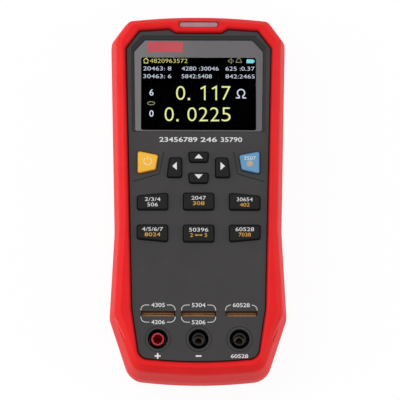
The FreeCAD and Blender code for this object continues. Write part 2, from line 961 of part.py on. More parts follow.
def add_bosses(body):
    boss_sketch = circle_sketch(body, "boss_sketch", s.parting_height,
                                circles_at(CASE_SCREWS, s.case_boss_radius))
    pad(body, boss_sketch, roof - s.parting_height + s.lay_gap, "case_bosses")
    board_sketch = circle_sketch(body, "board_boss_sketch", board_top + s.lay_gap,
                                 circles_at(BOARD_SCREWS, s.board_boss_radius))
    pad(body, board_sketch, roof - board_top, "board_bosses")
    tube_sketch = circle_sketch(body, "jack_tube_sketch", jack_well_bottom,
                                circles_at(jack_places(), s.jack_well_radius + s.jack_wall))
    pad(body, tube_sketch, roof - jack_well_bottom + s.lay_gap, "jack_tubes")
    pilot = circle_sketch(body, "pilot_sketch", s.parting_height,
                          circles_at(CASE_SCREWS, s.case_screw_radius + s.thread_fit))
    depth = s.case_screw_length + back_wall + s.case_head_depth - s.parting_height + s.head_clearance
    pocket(body, pilot, depth, "case_pilots", up=True)
    board_pilot = circle_sketch(body, "board_pilot_sketch", board_top + s.lay_gap,
                                circles_at(BOARD_SCREWS, s.board_screw_radius + s.thread_fit))
    pocket(body, board_pilot, s.board_screw_grip + s.head_clearance, "board_pilots", up=True)


def cut_display_window(body):
    loft(body, "lens_slope", [
        (lens_top, grow(LENS, s.lens_fit)),
        (face, recess_outline()),
    ], cut=True)
    seat = outline_sketch(body, "lens_seat_sketch", lens_top + s.lay_gap, grow(LENS, s.lens_fit))
    pocket(body, seat, s.lens_thickness + s.lay_gap * 2, "lens_seat")
    window = outline_sketch(body, "window_sketch", lens_top, WINDOW)
    pocket(body, window, lens_top - frame_bottom + s.lay_gap, "window")


def contour_outline():
    """A narrow groove that follows the lower and inner sides of the power key."""
    lower_left, lower_right, upper_right, upper_left = grow(KEYS["key_power"], s.contour_margin)
    start = -(hip_x - s.rim_hip) + face_inset
    half = s.contour_width / 2
    drop = lower_left.y - (lower_right.y - lower_left.y) * s.contour_slope
    line = [(start, drop), (lower_right.x, lower_right.y), (upper_right.x, upper_right.y)]
    lower = [Corner(x, y - half) for x, y in line[:2]]
    inner = [Corner(line[2][0] + half, line[2][1]), Corner(line[2][0] - half, line[2][1])]
    upper = [Corner(line[1][0] - half, line[1][1] + half), Corner(line[0][0], line[0][1] + half)]
    return lower + inner + upper


def cut_front_openings(body):
    through = s.panel_thickness + s.lay_gap
    keys = [grow(outline, s.key_clearance) for outline in KEYS.values()]
    for start in range(0, len(keys), 2):
        pair = outline_sketch(body, f"key_sketch_{start}", face, *keys[start:start + 2])
        pocket(body, pair, through, f"key_openings_{start}")
    slots = [rectangle(width, s.slot_opening, x, slot_line) for x, width in SLOTS.values()]
    pocket(body, outline_sketch(body, "slot_sketch", face, *slots), through, "fixture_slots")
    wells = circle_sketch(body, "well_sketch", face, circles_at(jack_places(), s.jack_well_radius))
    pocket(body, wells, s.jack_well_depth + s.lay_gap, "jack_wells")
    rings = circle_sketch(body, "ring_sketch", face,
                          circles_at(jack_places(), s.ring_groove_radius)
                          + circles_at(jack_places(), s.ring_groove_radius + s.ring_groove_width))
    pocket(body, rings, s.ring_groove_depth, "ring_grooves")
    contour = contour_outline()
    contours = outline_sketch(body, "contour_sketch", face, contour, flip(contour))
    pocket(body, contours, s.contour_depth, "key_contours")
    stem = circle_sketch(body, "stem_sketch", case_front,
                         [(0, LIGHT_Y - s.light_height / 2 + s.light_stem_radius,
                           s.light_stem_radius + s.light_fit)])
    pocket(body, stem, s.light_stem_length, "light_hole")


# Rear half of the case

def make_rear_case():
    body = make_body("rear_case")
    loft(body, "shell", [
        (back_wall, inset(BOOT, s.case_back_inset)),
        (back_wall + s.case_edge_height, inset(BOOT, s.case_edge_inset)),
        (s.parting_height, inset(BOOT, s.parting_inset)),
    ])
    back = inset(BOOT, s.back_rim + s.back_gap)
    back_sketch = outline_sketch(body, "back_sketch", s.back_face_height, back)
    pad(body, back_sketch, back_wall - s.back_face_height + s.lay_gap, "back_face")
    cavity = inset(BOOT, s.case_edge_inset + s.case_wall)
    cavity_sketch = outline_sketch(body, "cavity_sketch", s.parting_height, cavity)
    pocket(body, cavity_sketch, s.parting_height - s.floor_height, "cavity")
    add_rear_bosses(body)
    cut_stand_recess(body)
    cut_battery_bay(body)
    return body


BATTERY_Y = stand_axis - s.battery_start - s.battery_length / 2
BAY_WIDTH = s.battery_width + s.battery_clearance * 2
BAY_LENGTH = s.battery_length + s.battery_clearance * 2
COVER_LENGTH = BAY_LENGTH + s.cover_ledge * 2 + s.cover_tab
COVER_Y = BATTERY_Y - s.cover_tab / 2
COVER_SCREWS = both_sides(s.cover_screw_spread / 2,
                          BATTERY_Y - BAY_LENGTH / 2 - s.cover_ledge / 2 - s.cover_tab / 2)
cover_bottom = recess_floor + s.lay_gap
cover_seat = cover_bottom + s.cover_plate


def add_rear_bosses(body):
    bosses = circle_sketch(body, "boss_sketch", s.floor_height - s.lay_gap,
                           circles_at(CASE_SCREWS, s.head_boss_radius))
    pad(body, bosses, s.parting_height - s.floor_height + s.lay_gap, "case_bosses")
    heads = circle_sketch(body, "head_sketch", 0,
                          circles_at(CASE_SCREWS, s.case_head_radius + s.head_clearance))
    pocket(body, heads, back_wall + s.case_head_depth, "head_wells", up=True)
    shanks = circle_sketch(body, "shank_sketch", 0,
                           circles_at(CASE_SCREWS, s.case_screw_radius + s.shank_clearance))
    pocket(body, shanks, s.parting_height + s.lay_gap, "shank_holes", up=True)


def cut_stand_recess(body):
    gap = s.stand_clearance
    width = s.stand_width + gap * 2
    length = s.stand_length + s.stand_thickness / 2 + gap * 2
    middle = stand_axis + s.stand_thickness / 2 + gap - length / 2
    recess = rectangle(width, length, y=middle, radius=s.stand_round)
    recess[2].radius = s.lens_round
    recess[3].radius = s.lens_round
    pocket(body, outline_sketch(body, "recess_sketch", 0, recess), recess_floor, "stand_recess", up=True)
    free_end = stand_axis - s.stand_length
    notch = circle_sketch(body, "notch_sketch", 0, [(0, free_end, s.notch_radius)])
    pocket(body, notch, recess_floor, "finger_notch", up=True)
    pins = make_sketch(body, "pin_sketch", 0, "YZ_Plane")
    draw_circle(pins, stand_axis, stand_axis_height, s.stand_pin_radius + s.stand_pin_clearance)
    holes = body.newObject("PartDesign::Pocket", "pin_holes")
    holes.Profile = pins
    holes.SideType = "Symmetric"
    reach = s.stand_width + s.stand_pin_length * 2 + s.stand_pin_end_gap * 2
    holes.setExpression("Length", reach.text)
    finish_feature(body, holes)


def cut_battery_bay(body):
    bay = rectangle(BAY_WIDTH, BAY_LENGTH, y=BATTERY_Y, radius=s.cover_round)
    walls = outline_sketch(body, "bay_wall_sketch", s.floor_height - s.lay_gap, grow(bay, s.bay_wall), bay)
    pad(body, walls, s.bay_wall_height, "bay_walls")
    bosses = circle_sketch(body, "cover_boss_sketch", s.floor_height - s.lay_gap,
                           circles_at(COVER_SCREWS, s.cover_boss_radius))
    pad(body, bosses, s.cover_boss_height, "cover_bosses")
    rebate = rectangle(BAY_WIDTH + s.cover_ledge * 2, COVER_LENGTH, y=COVER_Y, radius=s.cover_round)
    seat_depth = cover_seat - recess_floor + s.lay_gap
    rebate_sketch = outline_sketch(body, "rebate_sketch", recess_floor, rebate)
    pocket(body, rebate_sketch, seat_depth, "cover_rebate", up=True)
    pocket(body, outline_sketch(body, "bay_sketch", recess_floor, bay), s.floor_height, "bay", up=True)
    pilots = circle_sketch(body, "cover_pilot_sketch", recess_floor,
                           circles_at(COVER_SCREWS, s.cover_screw_radius + s.thread_fit))
    pocket(body, pilots, seat_depth + s.cover_screw_grip, "cover_pilots", up=True)


# Display

def make_display_lens():
    body = make_body("display_lens")
    loft(body, "pane", [
        (lens_bottom, LENS),
        (lens_top - s.lens_bevel, LENS),
        (lens_top, inset(LENS, s.lens_bevel)),
    ])
    return body


def make_display_gasket():
    body = make_body("display_gasket")
    outer = grow(WINDOW, s.gasket_width)
    ring = outline_sketch(body, "ring_sketch", frame_bottom - s.gasket_thickness, outer, WINDOW)
    pad(body, ring, s.gasket_thickness - s.lay_gap, "ring")
    return body


def make_display_panel():
    body = make_body("display_panel")
    outline = grow(WINDOW, s.panel_border)
    low = board_top + s.lay_gap
    high = frame_bottom - s.gasket_thickness - s.lay_gap
    pad(body, outline_sketch(body, "module_sketch", low, outline), high - low, "module")
    return body


# Status light

def make_status_light():
    body = make_body("status_light_lens")
    low = case_front + s.lay_gap
    bar = outline_sketch(body, "bar_sketch", low, LIGHT)
    pad(body, bar, crest - s.light_drop - low, "bar")
    stem_y = LIGHT_Y - s.light_height / 2 + s.light_stem_radius
    stem = circle_sketch(body, "stem_sketch", low, [(0, stem_y, s.light_stem_radius)])
    pad(body, stem, s.light_stem_length, "stem", down=True)
    return body


def make_status_led():
    body = make_body("status_led")
    middle = LIGHT_Y - s.light_height / 2 + s.light_stem_radius - s.led_size / 4
    outline = rectangle(s.led_size, s.led_size / 2, y=middle)
    pad(body, outline_sketch(body, "chip_sketch", board_top + s.lay_gap, outline), s.led_height, "chip")
    return body


# Keypad

def make_key(label, outline):
    body = make_body(label)
    flange_top = roof - s.flange_gap
    flange_bottom = flange_top - s.flange_thickness
    bevel_start = face + s.key_rise - s.key_bevel_height
    plunger_bottom = board_top + s.pad_thickness + s.lay_gap + s.key_travel + s.contact_gap
    flange = outline_sketch(body, "flange_sketch", flange_bottom, grow(outline, s.flange_width))
    pad(body, flange, s.flange_thickness, "flange")
    cap = outline_sketch(body, "cap_sketch", flange_bottom, outline)
    pad(body, cap, bevel_start - flange_bottom, "cap")
    loft(body, "bevel", [
        (bevel_start, outline),
        (face + s.key_rise, inset(outline, s.key_bevel)),
    ])
    fillet(body, edges_at(body.Shape, face + s.key_rise), s.key_edge_round, "edge_round")
    plunger = circle_sketch(body, "plunger_sketch", flange_bottom,
                            [(*middle_of(outline), s.plunger_radius)])
    pad(body, plunger, flange_bottom - plunger_bottom, "plunger", down=True)
    return body


def make_keypad_mat():
    body = make_body("keypad_mat")
    high = KEYS["key_power"][3].y + s.mat_margin
    low = function_row - s.function_row_pitch - s.function_key_height / 2 - s.mat_margin
    outline = rectangle((KEY_EDGE + s.mat_margin) * 2, high - low, y=(high + low) / 2, radius=s.key_round)
    sheet = outline_sketch(body, "sheet_sketch", board_top + s.lay_gap, outline)
    pad(body, sheet, s.mat_thickness, "sheet")
    holes = circle_sketch(body, "hole_sketch", board_top, circles_at(KEY_MIDDLES, s.mat_hole_radius))
    pocket(body, holes, s.mat_thickness * 2, "plunger_holes", up=True)
    return body


def make_contact_pads():
    body = make_body("contact_pads")
    pads = circle_sketch(body, "pad_sketch", board_top + s.lay_gap, circles_at(KEY_MIDDLES, s.pad_radius))
    pad(body, pads, s.pad_thickness, "pads")
    return body


# Main board and what is on it

BOARD = inset(BOOT, s.case_upper_inset + s.case_wall + s.board_clearance)


def make_main_board():
    body = make_body("main_board")
    pad(body, outline_sketch(body, "board_sketch", board_bottom, BOARD), s.board_thickness, "board")
    clear = s.jack_well_radius + s.jack_wall + s.board_clearance
    holes = circle_sketch(body, "hole_sketch", board_bottom,
                          circles_at(jack_places(), clear)
                          + circles_at(BOARD_SCREWS, s.board_screw_radius + s.shank_clearance)
                          + circles_at(CASE_SCREWS, s.case_boss_radius + s.board_clearance))
    pocket(body, holes, s.board_thickness * 2, "holes", up=True)
    return body


def make_board_screws():
    body = make_body("board_screws")
    seat = board_bottom - s.lay_gap
    heads = circle_sketch(body, "head_sketch", seat, circles_at(BOARD_SCREWS, s.board_head_radius))
    pad(body, heads, s.board_head_height, "heads", down=True)
    shanks = circle_sketch(body, "shank_sketch", seat, circles_at(BOARD_SCREWS, s.board_screw_radius))
    pad(body, shanks, s.board_thickness + s.lay_gap + s.board_screw_grip, "shanks")
    return body


def make_shield_can():
    body = make_body("shield_can")
    high = board_bottom - s.lay_gap
    outer = rectangle(s.shield_width, s.shield_length, y=lens_low, radius=s.lens_round)
    pad(body, outline_sketch(body, "can_sketch", high, outer), s.shield_height, "can", down=True)
    inner = inset(outer, s.shield_sheet)
    hollow = outline_sketch(body, "inside_sketch", high, inner)
    pocket(body, hollow, s.shield_height - s.shield_sheet, "inside")
    return body


def make_board_chips():
    body = make_body("board_chips")
    chips = [rectangle(s.chip_size, s.chip_size, (index - 1) * s.chip_pitch, function_row)
             for index in range(3)]
    high = board_bottom - s.lay_gap
    pad(body, outline_sketch(body, "chip_sketch", high, *chips), s.chip_height, "chips", down=True)
    return body


def make_buzzer():
    body = make_body("buzzer")
    place = (s.chip_pitch, slot_line + s.board_screw_lower_rise)
    high = board_bottom - s.lay_gap
    pad(body, circle_sketch(body, "can_sketch", high, [(*place, s.buzzer_radius)]), s.buzzer_height, "can",
        down=True)
    mouth = circle_sketch(body, "mouth_sketch", high - s.buzzer_height, [(*place, s.buzzer_hole)])
    pocket(body, mouth, s.buzzer_height / 2, "mouth", up=True)
    return body


# Input jacks

def make_jack(label, x):
    """An insulating tube with a bore for its sleeve and a foot that closes the well."""
    body = make_body(label)
    high = jack_well_bottom - s.lay_gap
    foot_radius = s.jack_well_radius + s.jack_wall
    bore_radius = s.jack_tube_radius - s.jack_tube_wall
    foot = circle_sketch(body, "foot_sketch", high, [(x, jack_line, foot_radius)])
    pad(body, foot, s.jack_flange_thickness, "foot", down=True)
    tube = circle_sketch(body, "tube_sketch", high, [(x, jack_line, s.jack_tube_radius)])
    pad(body, tube, face - s.jack_tube_drop - high, "tube")
    bore = circle_sketch(body, "bore_sketch", face, [(x, jack_line, bore_radius)])
    pocket(body, bore, face - jack_foot_bottom, "bore")
    return body


def make_jack_sleeves():
    """Brass sockets with a flange under each insulating tube and a bore for a plug."""
    body = make_body("jack_sleeves")
    flange_top = jack_foot_bottom - s.lay_gap
    outer = s.jack_tube_radius - s.jack_tube_wall - s.socket_fit
    places = jack_places()
    flanges = circle_sketch(body, "flange_sketch", flange_top, circles_at(places, s.socket_flange_radius))
    pad(body, flanges, s.socket_flange_thickness, "flanges", down=True)
    tails = circle_sketch(body, "tail_sketch", flange_top, circles_at(places, s.socket_radius))
    pad(body, tails, s.socket_flange_thickness + s.socket_tail, "tails", down=True)
    barrels = circle_sketch(body, "barrel_sketch", flange_top, circles_at(places, outer))
    pad(body, barrels, sleeve_top - flange_top, "barrels")
    bores = circle_sketch(body, "bore_sketch", sleeve_top, circles_at(places, s.socket_radius))
    pocket(body, bores, s.socket_depth, "bores")
    return body


# Fixture slots

def slot_rooms():
    """The rooms of the contact block, one under each slot of the panel."""
    depth = s.slot_opening + s.spring_sheet * 2 + s.spring_seat * 2
    return [rectangle(width, depth, x, slot_line) for x, width in SLOTS.values()]


def make_slot_block():
    body = make_body("slot_block")
    right = s.slot_pitch + s.guard_slot_shift + s.guard_slot_width / 2 + s.block_margin
    left = -s.slot_pitch - s.slot_width / 2 - s.block_margin
    depth = s.slot_opening + (s.spring_sheet + s.spring_seat + s.block_wall) * 2
    low = board_top + s.lay_gap
    outline = rectangle(right - left, depth, (right + left) / 2, slot_line)
    pad(body, outline_sketch(body, "block_sketch", low, outline), roof - s.lay_gap - low, "block")
    rooms = outline_sketch(body, "room_sketch", low, *slot_rooms())
    pocket(body, rooms, roof, "rooms", up=True)
    return body


def spring_profile(side):
    """A bent leaf: foot against the block's wall, a waist that grips, and a flared mouth."""
    low = board_top + s.lay_gap * 2
    waist = low + s.spring_waist_height
    high = low + s.spring_height
    sheet = s.spring_sheet
    wall = s.slot_opening / 2
    grip = s.spring_gap / 2
    outer = [(wall + sheet, low), (grip + sheet, waist), (wall + sheet, high)]
    inner = [(wall, high), (grip, waist), (wall, low)]
    corners = [Corner(slot_line + side * y, z) for y, z in outer + inner]
    return corners if side > 0 else list(reversed(corners))


def make_slot_springs(label, x, width):
    body = make_body(label)
    start = x - width / 2 + s.spring_end_gap
    leaves = outline_sketch(body, "leaf_sketch", start, spring_profile(1), spring_profile(-1),
                            plane="YZ_Plane")
    pad(body, leaves, width - s.spring_end_gap * 2, "leaves")
    return body


# Battery and its cover

def make_battery_pack():
    body = make_body("battery_pack")
    outline = rectangle(s.battery_width, s.battery_length, y=BATTERY_Y, radius=s.battery_round)
    block = outline_sketch(body, "pack_sketch", s.floor_height + s.lay_gap, outline)
    pad(body, block, s.battery_height, "pack")
    return body


def make_battery_cover():
    body = make_body("battery_cover")
    fit = s.cover_fit
    outline = rectangle(BAY_WIDTH + s.cover_ledge * 2 - fit * 2, COVER_LENGTH - fit * 2, y=COVER_Y,
                        radius=s.cover_round - fit / 2)
    pad(body, outline_sketch(body, "plate_sketch", cover_bottom, outline), s.cover_plate, "plate")
    rim = rectangle(BAY_WIDTH - fit * 2, BAY_LENGTH - fit * 2, y=BATTERY_Y, radius=s.cover_round - fit / 2)
    pad(body, outline_sketch(body, "rim_sketch", cover_bottom, rim), s.floor_height - cover_bottom, "rim")
    heads = circle_sketch(body, "head_sketch", cover_bottom,
                          circles_at(COVER_SCREWS, s.cover_head_radius + s.shank_clearance))
    pocket(body, heads, s.cover_head_height, "head_wells", up=True)
    shanks = circle_sketch(body, "shank_sketch", cover_bottom,
                           circles_at(COVER_SCREWS, s.cover_screw_radius + s.shank_clearance))
    pocket(body, shanks, s.cover_plate * 2, "shank_holes", up=True)
    return body


def make_screws(label, places, seat, head_radius, head_height, radius, length):
    """Screws driven upwards from the back, with their heads below the seat."""
    body = make_body(label)
    heads = circle_sketch(body, "head_sketch", seat, circles_at(places, head_radius))
    pad(body, heads, head_height, "heads", down=True)
    shanks = circle_sketch(body, "shank_sketch", seat, circles_at(places, radius))
    pad(body, shanks, length, "shanks")
    return body


# Tilt stand

def make_tilt_stand():
    """A plate with a rounded hinge end, two stub pins and two long windows."""
    body = make_body("tilt_stand")
    half = s.stand_thickness / 2
    free_end = stand_axis - s.stand_length
    length = s.stand_length + half
    profile = rectangle(length, s.stand_thickness, free_end + length / 2, stand_axis_height)
    hinge_round = half * END_ROUND_SHARE
    profile[1].radius = hinge_round
    profile[2].radius = hinge_round
    side = outline_sketch(body, "side_sketch", 0, profile, plane="YZ_Plane")
    pad_both_ways(body, side, s.stand_width, "plate")
    fillet(body, upright_edges(body.Shape, free_end), s.stand_round, "corners")
    window_y = stand_axis - s.stand_window_start - s.stand_window_length / 2
    windows = [rectangle(s.stand_window_width, s.stand_window_length, side * s.stand_window_pitch / 2,
                         window_y, s.cover_round) for side in (-1, 1)]
    sketch = outline_sketch(body, "window_sketch", stand_bottom, *windows)
    pocket(body, sketch, s.stand_thickness * 2, "windows", up=True)
    pins = make_sketch(body, "pin_sketch", 0, "YZ_Plane")
    draw_circle(pins, stand_axis, stand_axis_height, s.stand_pin_radius)
    pad_both_ways(body, pins, s.stand_width + s.stand_pin_length * 2, "pins")
    return body


def upright_edges(shape, y, tolerance=1e-4):
    """Names of the edges that stand along Z at a place along Y."""
    names = []
    for index, edge in enumerate(shape.Edges, start=1):
        box = edge.BoundBox
        upright = box.XLength < tolerance and box.ZLength > tolerance
        if upright and abs(box.YMin - y.value) < tolerance and abs(box.YMax - y.value) < tolerance:
            names.append(f"Edge{index}")
    return names


def make_all():
    bodies = [make_boot(), make_front_case(), make_rear_case(), make_display_lens(), make_display_gasket(),
              make_display_panel(), make_status_light(), make_status_led(), make_keypad_mat(),
              make_contact_pads(), make_main_board(), make_board_screws(), make_shield_can(),
              make_board_chips(), make_buzzer(), make_jack_sleeves(), make_slot_block(),
              make_battery_pack(), make_battery_cover(), make_tilt_stand()]
    bodies += [make_key(label, outline) for label, outline in KEYS.items()]
    bodies += [make_jack(label, x) for label, x in JACKS.items()]
    bodies += [make_slot_springs(label, x, width) for label, (x, width) in SLOTS.items()]
    bodies.append(make_screws("case_screws", CASE_SCREWS, back_wall + s.case_head_depth - s.lay_gap,
                              s.case_head_radius, s.case_head_height, s.case_screw_radius,
                              s.case_screw_length))
    bodies.append(make_screws("battery_cover_screws", COVER_SCREWS,
                              cover_bottom + s.cover_head_height - s.lay_gap, s.cover_head_radius,
                              s.cover_head_height - s.lay_gap, s.cover_screw_radius,
                              s.cover_plate - s.cover_head_height + s.cover_screw_grip))
    return bodies


def check_all(bodies):
    doc.recompute()
    for item in doc.Objects:
        if "Invalid" in item.State or "Error" in item.State:
            raise RuntimeError(f"{item.Label} is {item.State}")
    for body in bodies:
        if body.Shape.isNull() or not body.Shape.isValid():
            raise RuntimeError(f"{body.Label} has no valid shape")


def write_all(bodies):
    os.makedirs("parts", exist_ok=True)
    for body in bodies:
        body.Shape.exportStep(f"parts/{body.Label}.step")
        box = body.Shape.BoundBox
        print(f"{body.Label:22s} solids {len(body.Shape.Solids):2d}  volume {body.Shape.Volume:10.1f}  "
              f"z {box.ZMin:6.2f} to {box.ZMax:6.2f}")


pieces = make_all()
check_all(pieces)
write_all(pieces)
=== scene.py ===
"""Looks of the component tester: finishes, printed marks, screen picture, light and camera.

Lengths are in millimetres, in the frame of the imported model, and become metres where a mesh is made.
"""
import json
import math

import bmesh
import bpy
from mathutils import Euler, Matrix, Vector

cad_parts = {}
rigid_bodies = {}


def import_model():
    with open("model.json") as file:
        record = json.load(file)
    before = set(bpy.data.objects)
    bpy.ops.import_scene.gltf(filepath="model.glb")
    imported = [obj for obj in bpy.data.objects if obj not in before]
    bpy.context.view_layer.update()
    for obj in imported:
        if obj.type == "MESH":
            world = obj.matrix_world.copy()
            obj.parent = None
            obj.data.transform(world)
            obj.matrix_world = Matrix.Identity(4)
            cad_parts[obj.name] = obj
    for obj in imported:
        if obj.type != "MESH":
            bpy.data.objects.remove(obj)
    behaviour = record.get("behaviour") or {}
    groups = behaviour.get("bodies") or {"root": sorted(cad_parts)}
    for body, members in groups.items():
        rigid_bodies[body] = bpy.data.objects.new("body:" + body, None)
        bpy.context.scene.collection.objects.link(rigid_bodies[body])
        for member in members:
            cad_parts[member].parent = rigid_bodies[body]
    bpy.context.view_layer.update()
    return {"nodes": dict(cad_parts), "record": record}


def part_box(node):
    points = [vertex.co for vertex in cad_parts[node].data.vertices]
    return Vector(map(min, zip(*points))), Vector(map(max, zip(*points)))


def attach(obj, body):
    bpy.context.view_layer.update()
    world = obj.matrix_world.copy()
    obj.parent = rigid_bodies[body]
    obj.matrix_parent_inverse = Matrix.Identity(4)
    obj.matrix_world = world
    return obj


for starter in list(bpy.data.objects):
    bpy.data.objects.remove(starter)
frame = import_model()

MM = 0.001
INK = 0.02          # thickness of printed ink
INK_GAP = 0.005     # ink above the face that carries it
CASE = "case"


def low_of(node, axis):
    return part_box(node)[0][axis] / MM


def high_of(node, axis):
    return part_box(node)[1][axis] / MM


def middle_of(node, axis):
    return (low_of(node, axis) + high_of(node, axis)) / 2


X, Y, Z = range(3)
FACE = high_of("front_case", Z)
BOOT_TOP = high_of("protective_boot", Z)
KEY_TOP = high_of("key_power", Z)
LENS_TOP = high_of("display_lens", Z)
PANEL_TOP = high_of("display_panel", Z)
PANE_Y = middle_of("display_lens", Y)


# Shader helpers

class Shader:
    """One material, with short ways to add and link its nodes."""

    def __init__(self, name):
        self.material = bpy.data.materials.new(name)
        self.material.use_nodes = True
        self.tree = self.material.node_tree
        self.tree.nodes.clear()
        self.output = self.add("OutputMaterial")
        self.place = self.add("TexCoord").outputs["Object"]

    def add(self, kind, inputs=None, **settings):
        node = self.tree.nodes.new("ShaderNode" + kind)
        for name, value in settings.items():
            setattr(node, name, value)
        for socket, value in (inputs or {}).items():
            if isinstance(value, bpy.types.NodeSocket):
                self.tree.links.new(value, node.inputs[socket])
            else:
                node.inputs[socket].default_value = value
        return node

    def axis(self, name):
        """Place of the shaded point along one axis of its object."""
        return self.add("SeparateXYZ", {"Vector": self.place}).outputs[name]

    def off_middle(self, name, middle):
        """Distance of the shaded point from a middle, along one axis."""
        return self.math("ABSOLUTE", self.math("SUBTRACT", self.axis(name), middle * MM))

    def noise(self, size, detail=2.0):
        """Cloudy values from 0 to 1 with features of the given size."""
        node = self.add("TexNoise", {"Vector": self.place, "Scale": 1 / (size * MM), "Detail": detail})
        return node.outputs["Fac"]

    def math(self, operation, first, second=0.0):
        return self.add("Math", {0: first, 1: second}, operation=operation).outputs[0]

    def remap(self, value, low, high, start=0.3, end=0.7):
        limits = {"Value": value, "From Min": start, "From Max": end, "To Min": low, "To Max": high}
        return self.add("MapRange", limits).outputs[0]

    def rise(self, value, start, end):
        """0 up to one length and 1 from another one on."""
        return self.remap(value, 0.0, 1.0, start * MM, end * MM)

    def fall(self, value, start, end):
        """1 up to one length and 0 from another one on."""
        return self.remap(value, 1.0, 0.0, start * MM, end * MM)

    def mix(self, factor, first, second):
        node = self.add("Mix", {0: factor, 6: first, 7: second}, data_type="RGBA")
        return node.outputs[2]

    def tint(self, colour, tone, share, strength):
        """A colour mixed with a tone by a share of a strength."""
        return self.mix(self.math("MULTIPLY", share, strength), colour, tone)

    def vectors(self, operation, first, second=(0.0, 0.0, 0.0)):
        return self.add("VectorMath", {0: first, 1: second}, operation=operation).outputs

    def bump(self, height, depth):
        return self.add("Bump", {"Height": height, "Distance": depth * MM}).outputs[0]

    def principled(self, inputs):
        surface = self.add("BsdfPrincipled", inputs)
        self.finish(surface.outputs[0])
        return surface

    def finish(self, surface):
        self.tree.links.new(surface, self.output.inputs["Surface"])


def rgb(red, green, blue):
    """Linear colour of a display colour given as 0 to 255."""
    def linear(value):
        share = value / 255
        return share / 12.92 if share <= 0.04045 else ((share + 0.055) / 1.055) ** 2.4
    return (linear(red), linear(green), linear(blue), 1.0)


# Finishes

CLOUD_DETAIL = 3.0
GLOSS_SPREAD = 0.06


def moulded(name, pale, deep, rough, grain, relief, cloud=14.0, shade=None, **fixed):
    """A moulded finish: two close tones in soft clouds, with a fine grain in relief and in gloss.

    A shade is a function that adds one more tone to the colour by place; the ones given here are painted
    light and shade.
    """
    shader = Shader(name)
    fine = shader.noise(grain)
    colour = shader.mix(shader.remap(shader.noise(cloud, CLOUD_DETAIL), 0.0, 1.0), deep, pale)
    if shade:
        colour = shade(shader, colour)
    gloss = shader.remap(fine, rough - GLOSS_SPREAD, rough + GLOSS_SPREAD)
    inputs = {"Base Color": colour, "Roughness": gloss, "Normal": shader.bump(fine, relief)}
    inputs.update({socket.replace("_", " "): value for socket, value in fixed.items()})
    shader.principled(inputs)
    return shader.material


STREAKS = 900.0         # drawing streaks to the metre, before they are stretched
STREAK_RELIEF = 0.004
TARNISH_SIZE = 1.6


def metal(name, pale, deep, rough, streak, bare=1.0, shade=None):
    """Metal with drawing streaks and a little tarnish, bare all over or partly dulled."""
    shader = Shader(name)
    stretch = shader.add("Mapping", {"Vector": shader.place, "Scale": (1.0, streak, streak)}).outputs[0]
    streaks = shader.add("TexNoise", {"Vector": stretch, "Scale": STREAKS, "Detail": CLOUD_DETAIL})
    lines = streaks.outputs["Fac"]
    colour = shader.mix(shader.remap(shader.noise(TARNISH_SIZE, CLOUD_DETAIL), 0.0, 1.0), deep, pale)
    if shade:
        colour = shade(shader, colour)
    shader.principled({"Base Color": colour, "Metallic": bare,
                       "Roughness": shader.remap(lines, rough - 0.08, rough + 0.1),
                       "Normal": shader.bump(lines, STREAK_RELIEF)})
    return shader.material


# Painted light and shade, which add a tone to a finish by place

# Painted shade on the sides of the keys: where it begins below the top and where it is darkest
KEY_EDGE_DROP = 0.2     # from a key's top down to where its sides begin to darken
KEY_SIDE_DEPTH = 1.0    # and from there to where they are darkest


def painted_key_side_shade(side):
    """Painted shade of a key: its sides are darker than its top."""
    top = KEY_TOP - KEY_EDGE_DROP

    def shade(shader, colour):
        return shader.mix(shader.fall(shader.axis("Z"), top - KEY_SIDE_DEPTH, top), colour, side)
    return shade


# Height in the recess round the pane, from 0 at its foot to 1 at the face, and the tone of painted shade
# there
RECESS_SHADE_TONES = ((0.0, 0.12), (0.14, 0.12), (0.3, 0.34), (0.66, 0.34), (0.82, 0.14), (0.92, 0.18), (0.99, 1.0))


def painted_recess_shade(shader, colour):
    """Painted shade in the recess round the pane: darker on its slope, and dark along its two edges."""
    ramp = shader.add("ValToRGB", {"Fac": shader.rise(shader.axis("Z"), LENS_TOP, FACE)})
    points = ramp.color_ramp.elements
    while len(points) < len(RECESS_SHADE_TONES):
        points.new(0.5)
    for point, (place, tone) in zip(points, RECESS_SHADE_TONES):
        point.position = place
        point.color = (tone, tone, tone, 1.0)
    return shader.add("Mix", {0: 1.0, 6: colour, 7: ramp.outputs["Color"]}, data_type="RGBA",
                      blend_type="MULTIPLY").outputs[2]


CREASE_START = Vector((-45.3, -69.6))   # ends of the left hip's crease
CREASE_END = Vector((-40.2, -81.4))
CREASE_CORE, CREASE_EDGE = 0.2, 0.7     # from its line, where the tone is full and where it is gone
CREASE_LEAD = (-1.4, -0.8)              # along its line, where the tone begins and where it is full
CREASE_FADE = 0.9                       # share of its length after which the tone fades
CREASE_STRENGTH = 0.35
# Pale red painted into the creases and notches as light that softens their shadow
CREASE_LIGHT_RED = rgb(255, 110, 110)


def left_hip_place(shader):
    """Place of the shaded point in plan, with both hips brought to the left side."""
    side = shader.math("MULTIPLY", shader.off_middle("X", 0.0), -1.0)
    return shader.add("CombineXYZ", {"X": side, "Y": shader.axis("Y")}).outputs[0]


def painted_crease_light(shader, colour):
    """Painted light in the boot's two hip creases: paler in the groove, so that its shadow is soft."""
    run = CREASE_END - CREASE_START
    offset = shader.vectors("SUBTRACT", left_hip_place(shader), (CREASE_START * MM).to_3d())[0]

    def along(direction):
        return shader.vectors("DOT_PRODUCT", offset, direction.normalized().to_3d())["Value"]

    across = along(Vector((-run.y, run.x)))
    forward = along(run)
    near = shader.fall(shader.math("ABSOLUTE", across), CREASE_CORE, CREASE_EDGE)
    begun = shader.rise(forward, *CREASE_LEAD)
    left = shader.fall(forward, CREASE_FADE * run.length, run.length)
    share = shader.math("MULTIPLY", shader.math("MULTIPLY", near, begun), left)
    return shader.tint(colour, CREASE_LIGHT_RED, share, CREASE_STRENGTH)


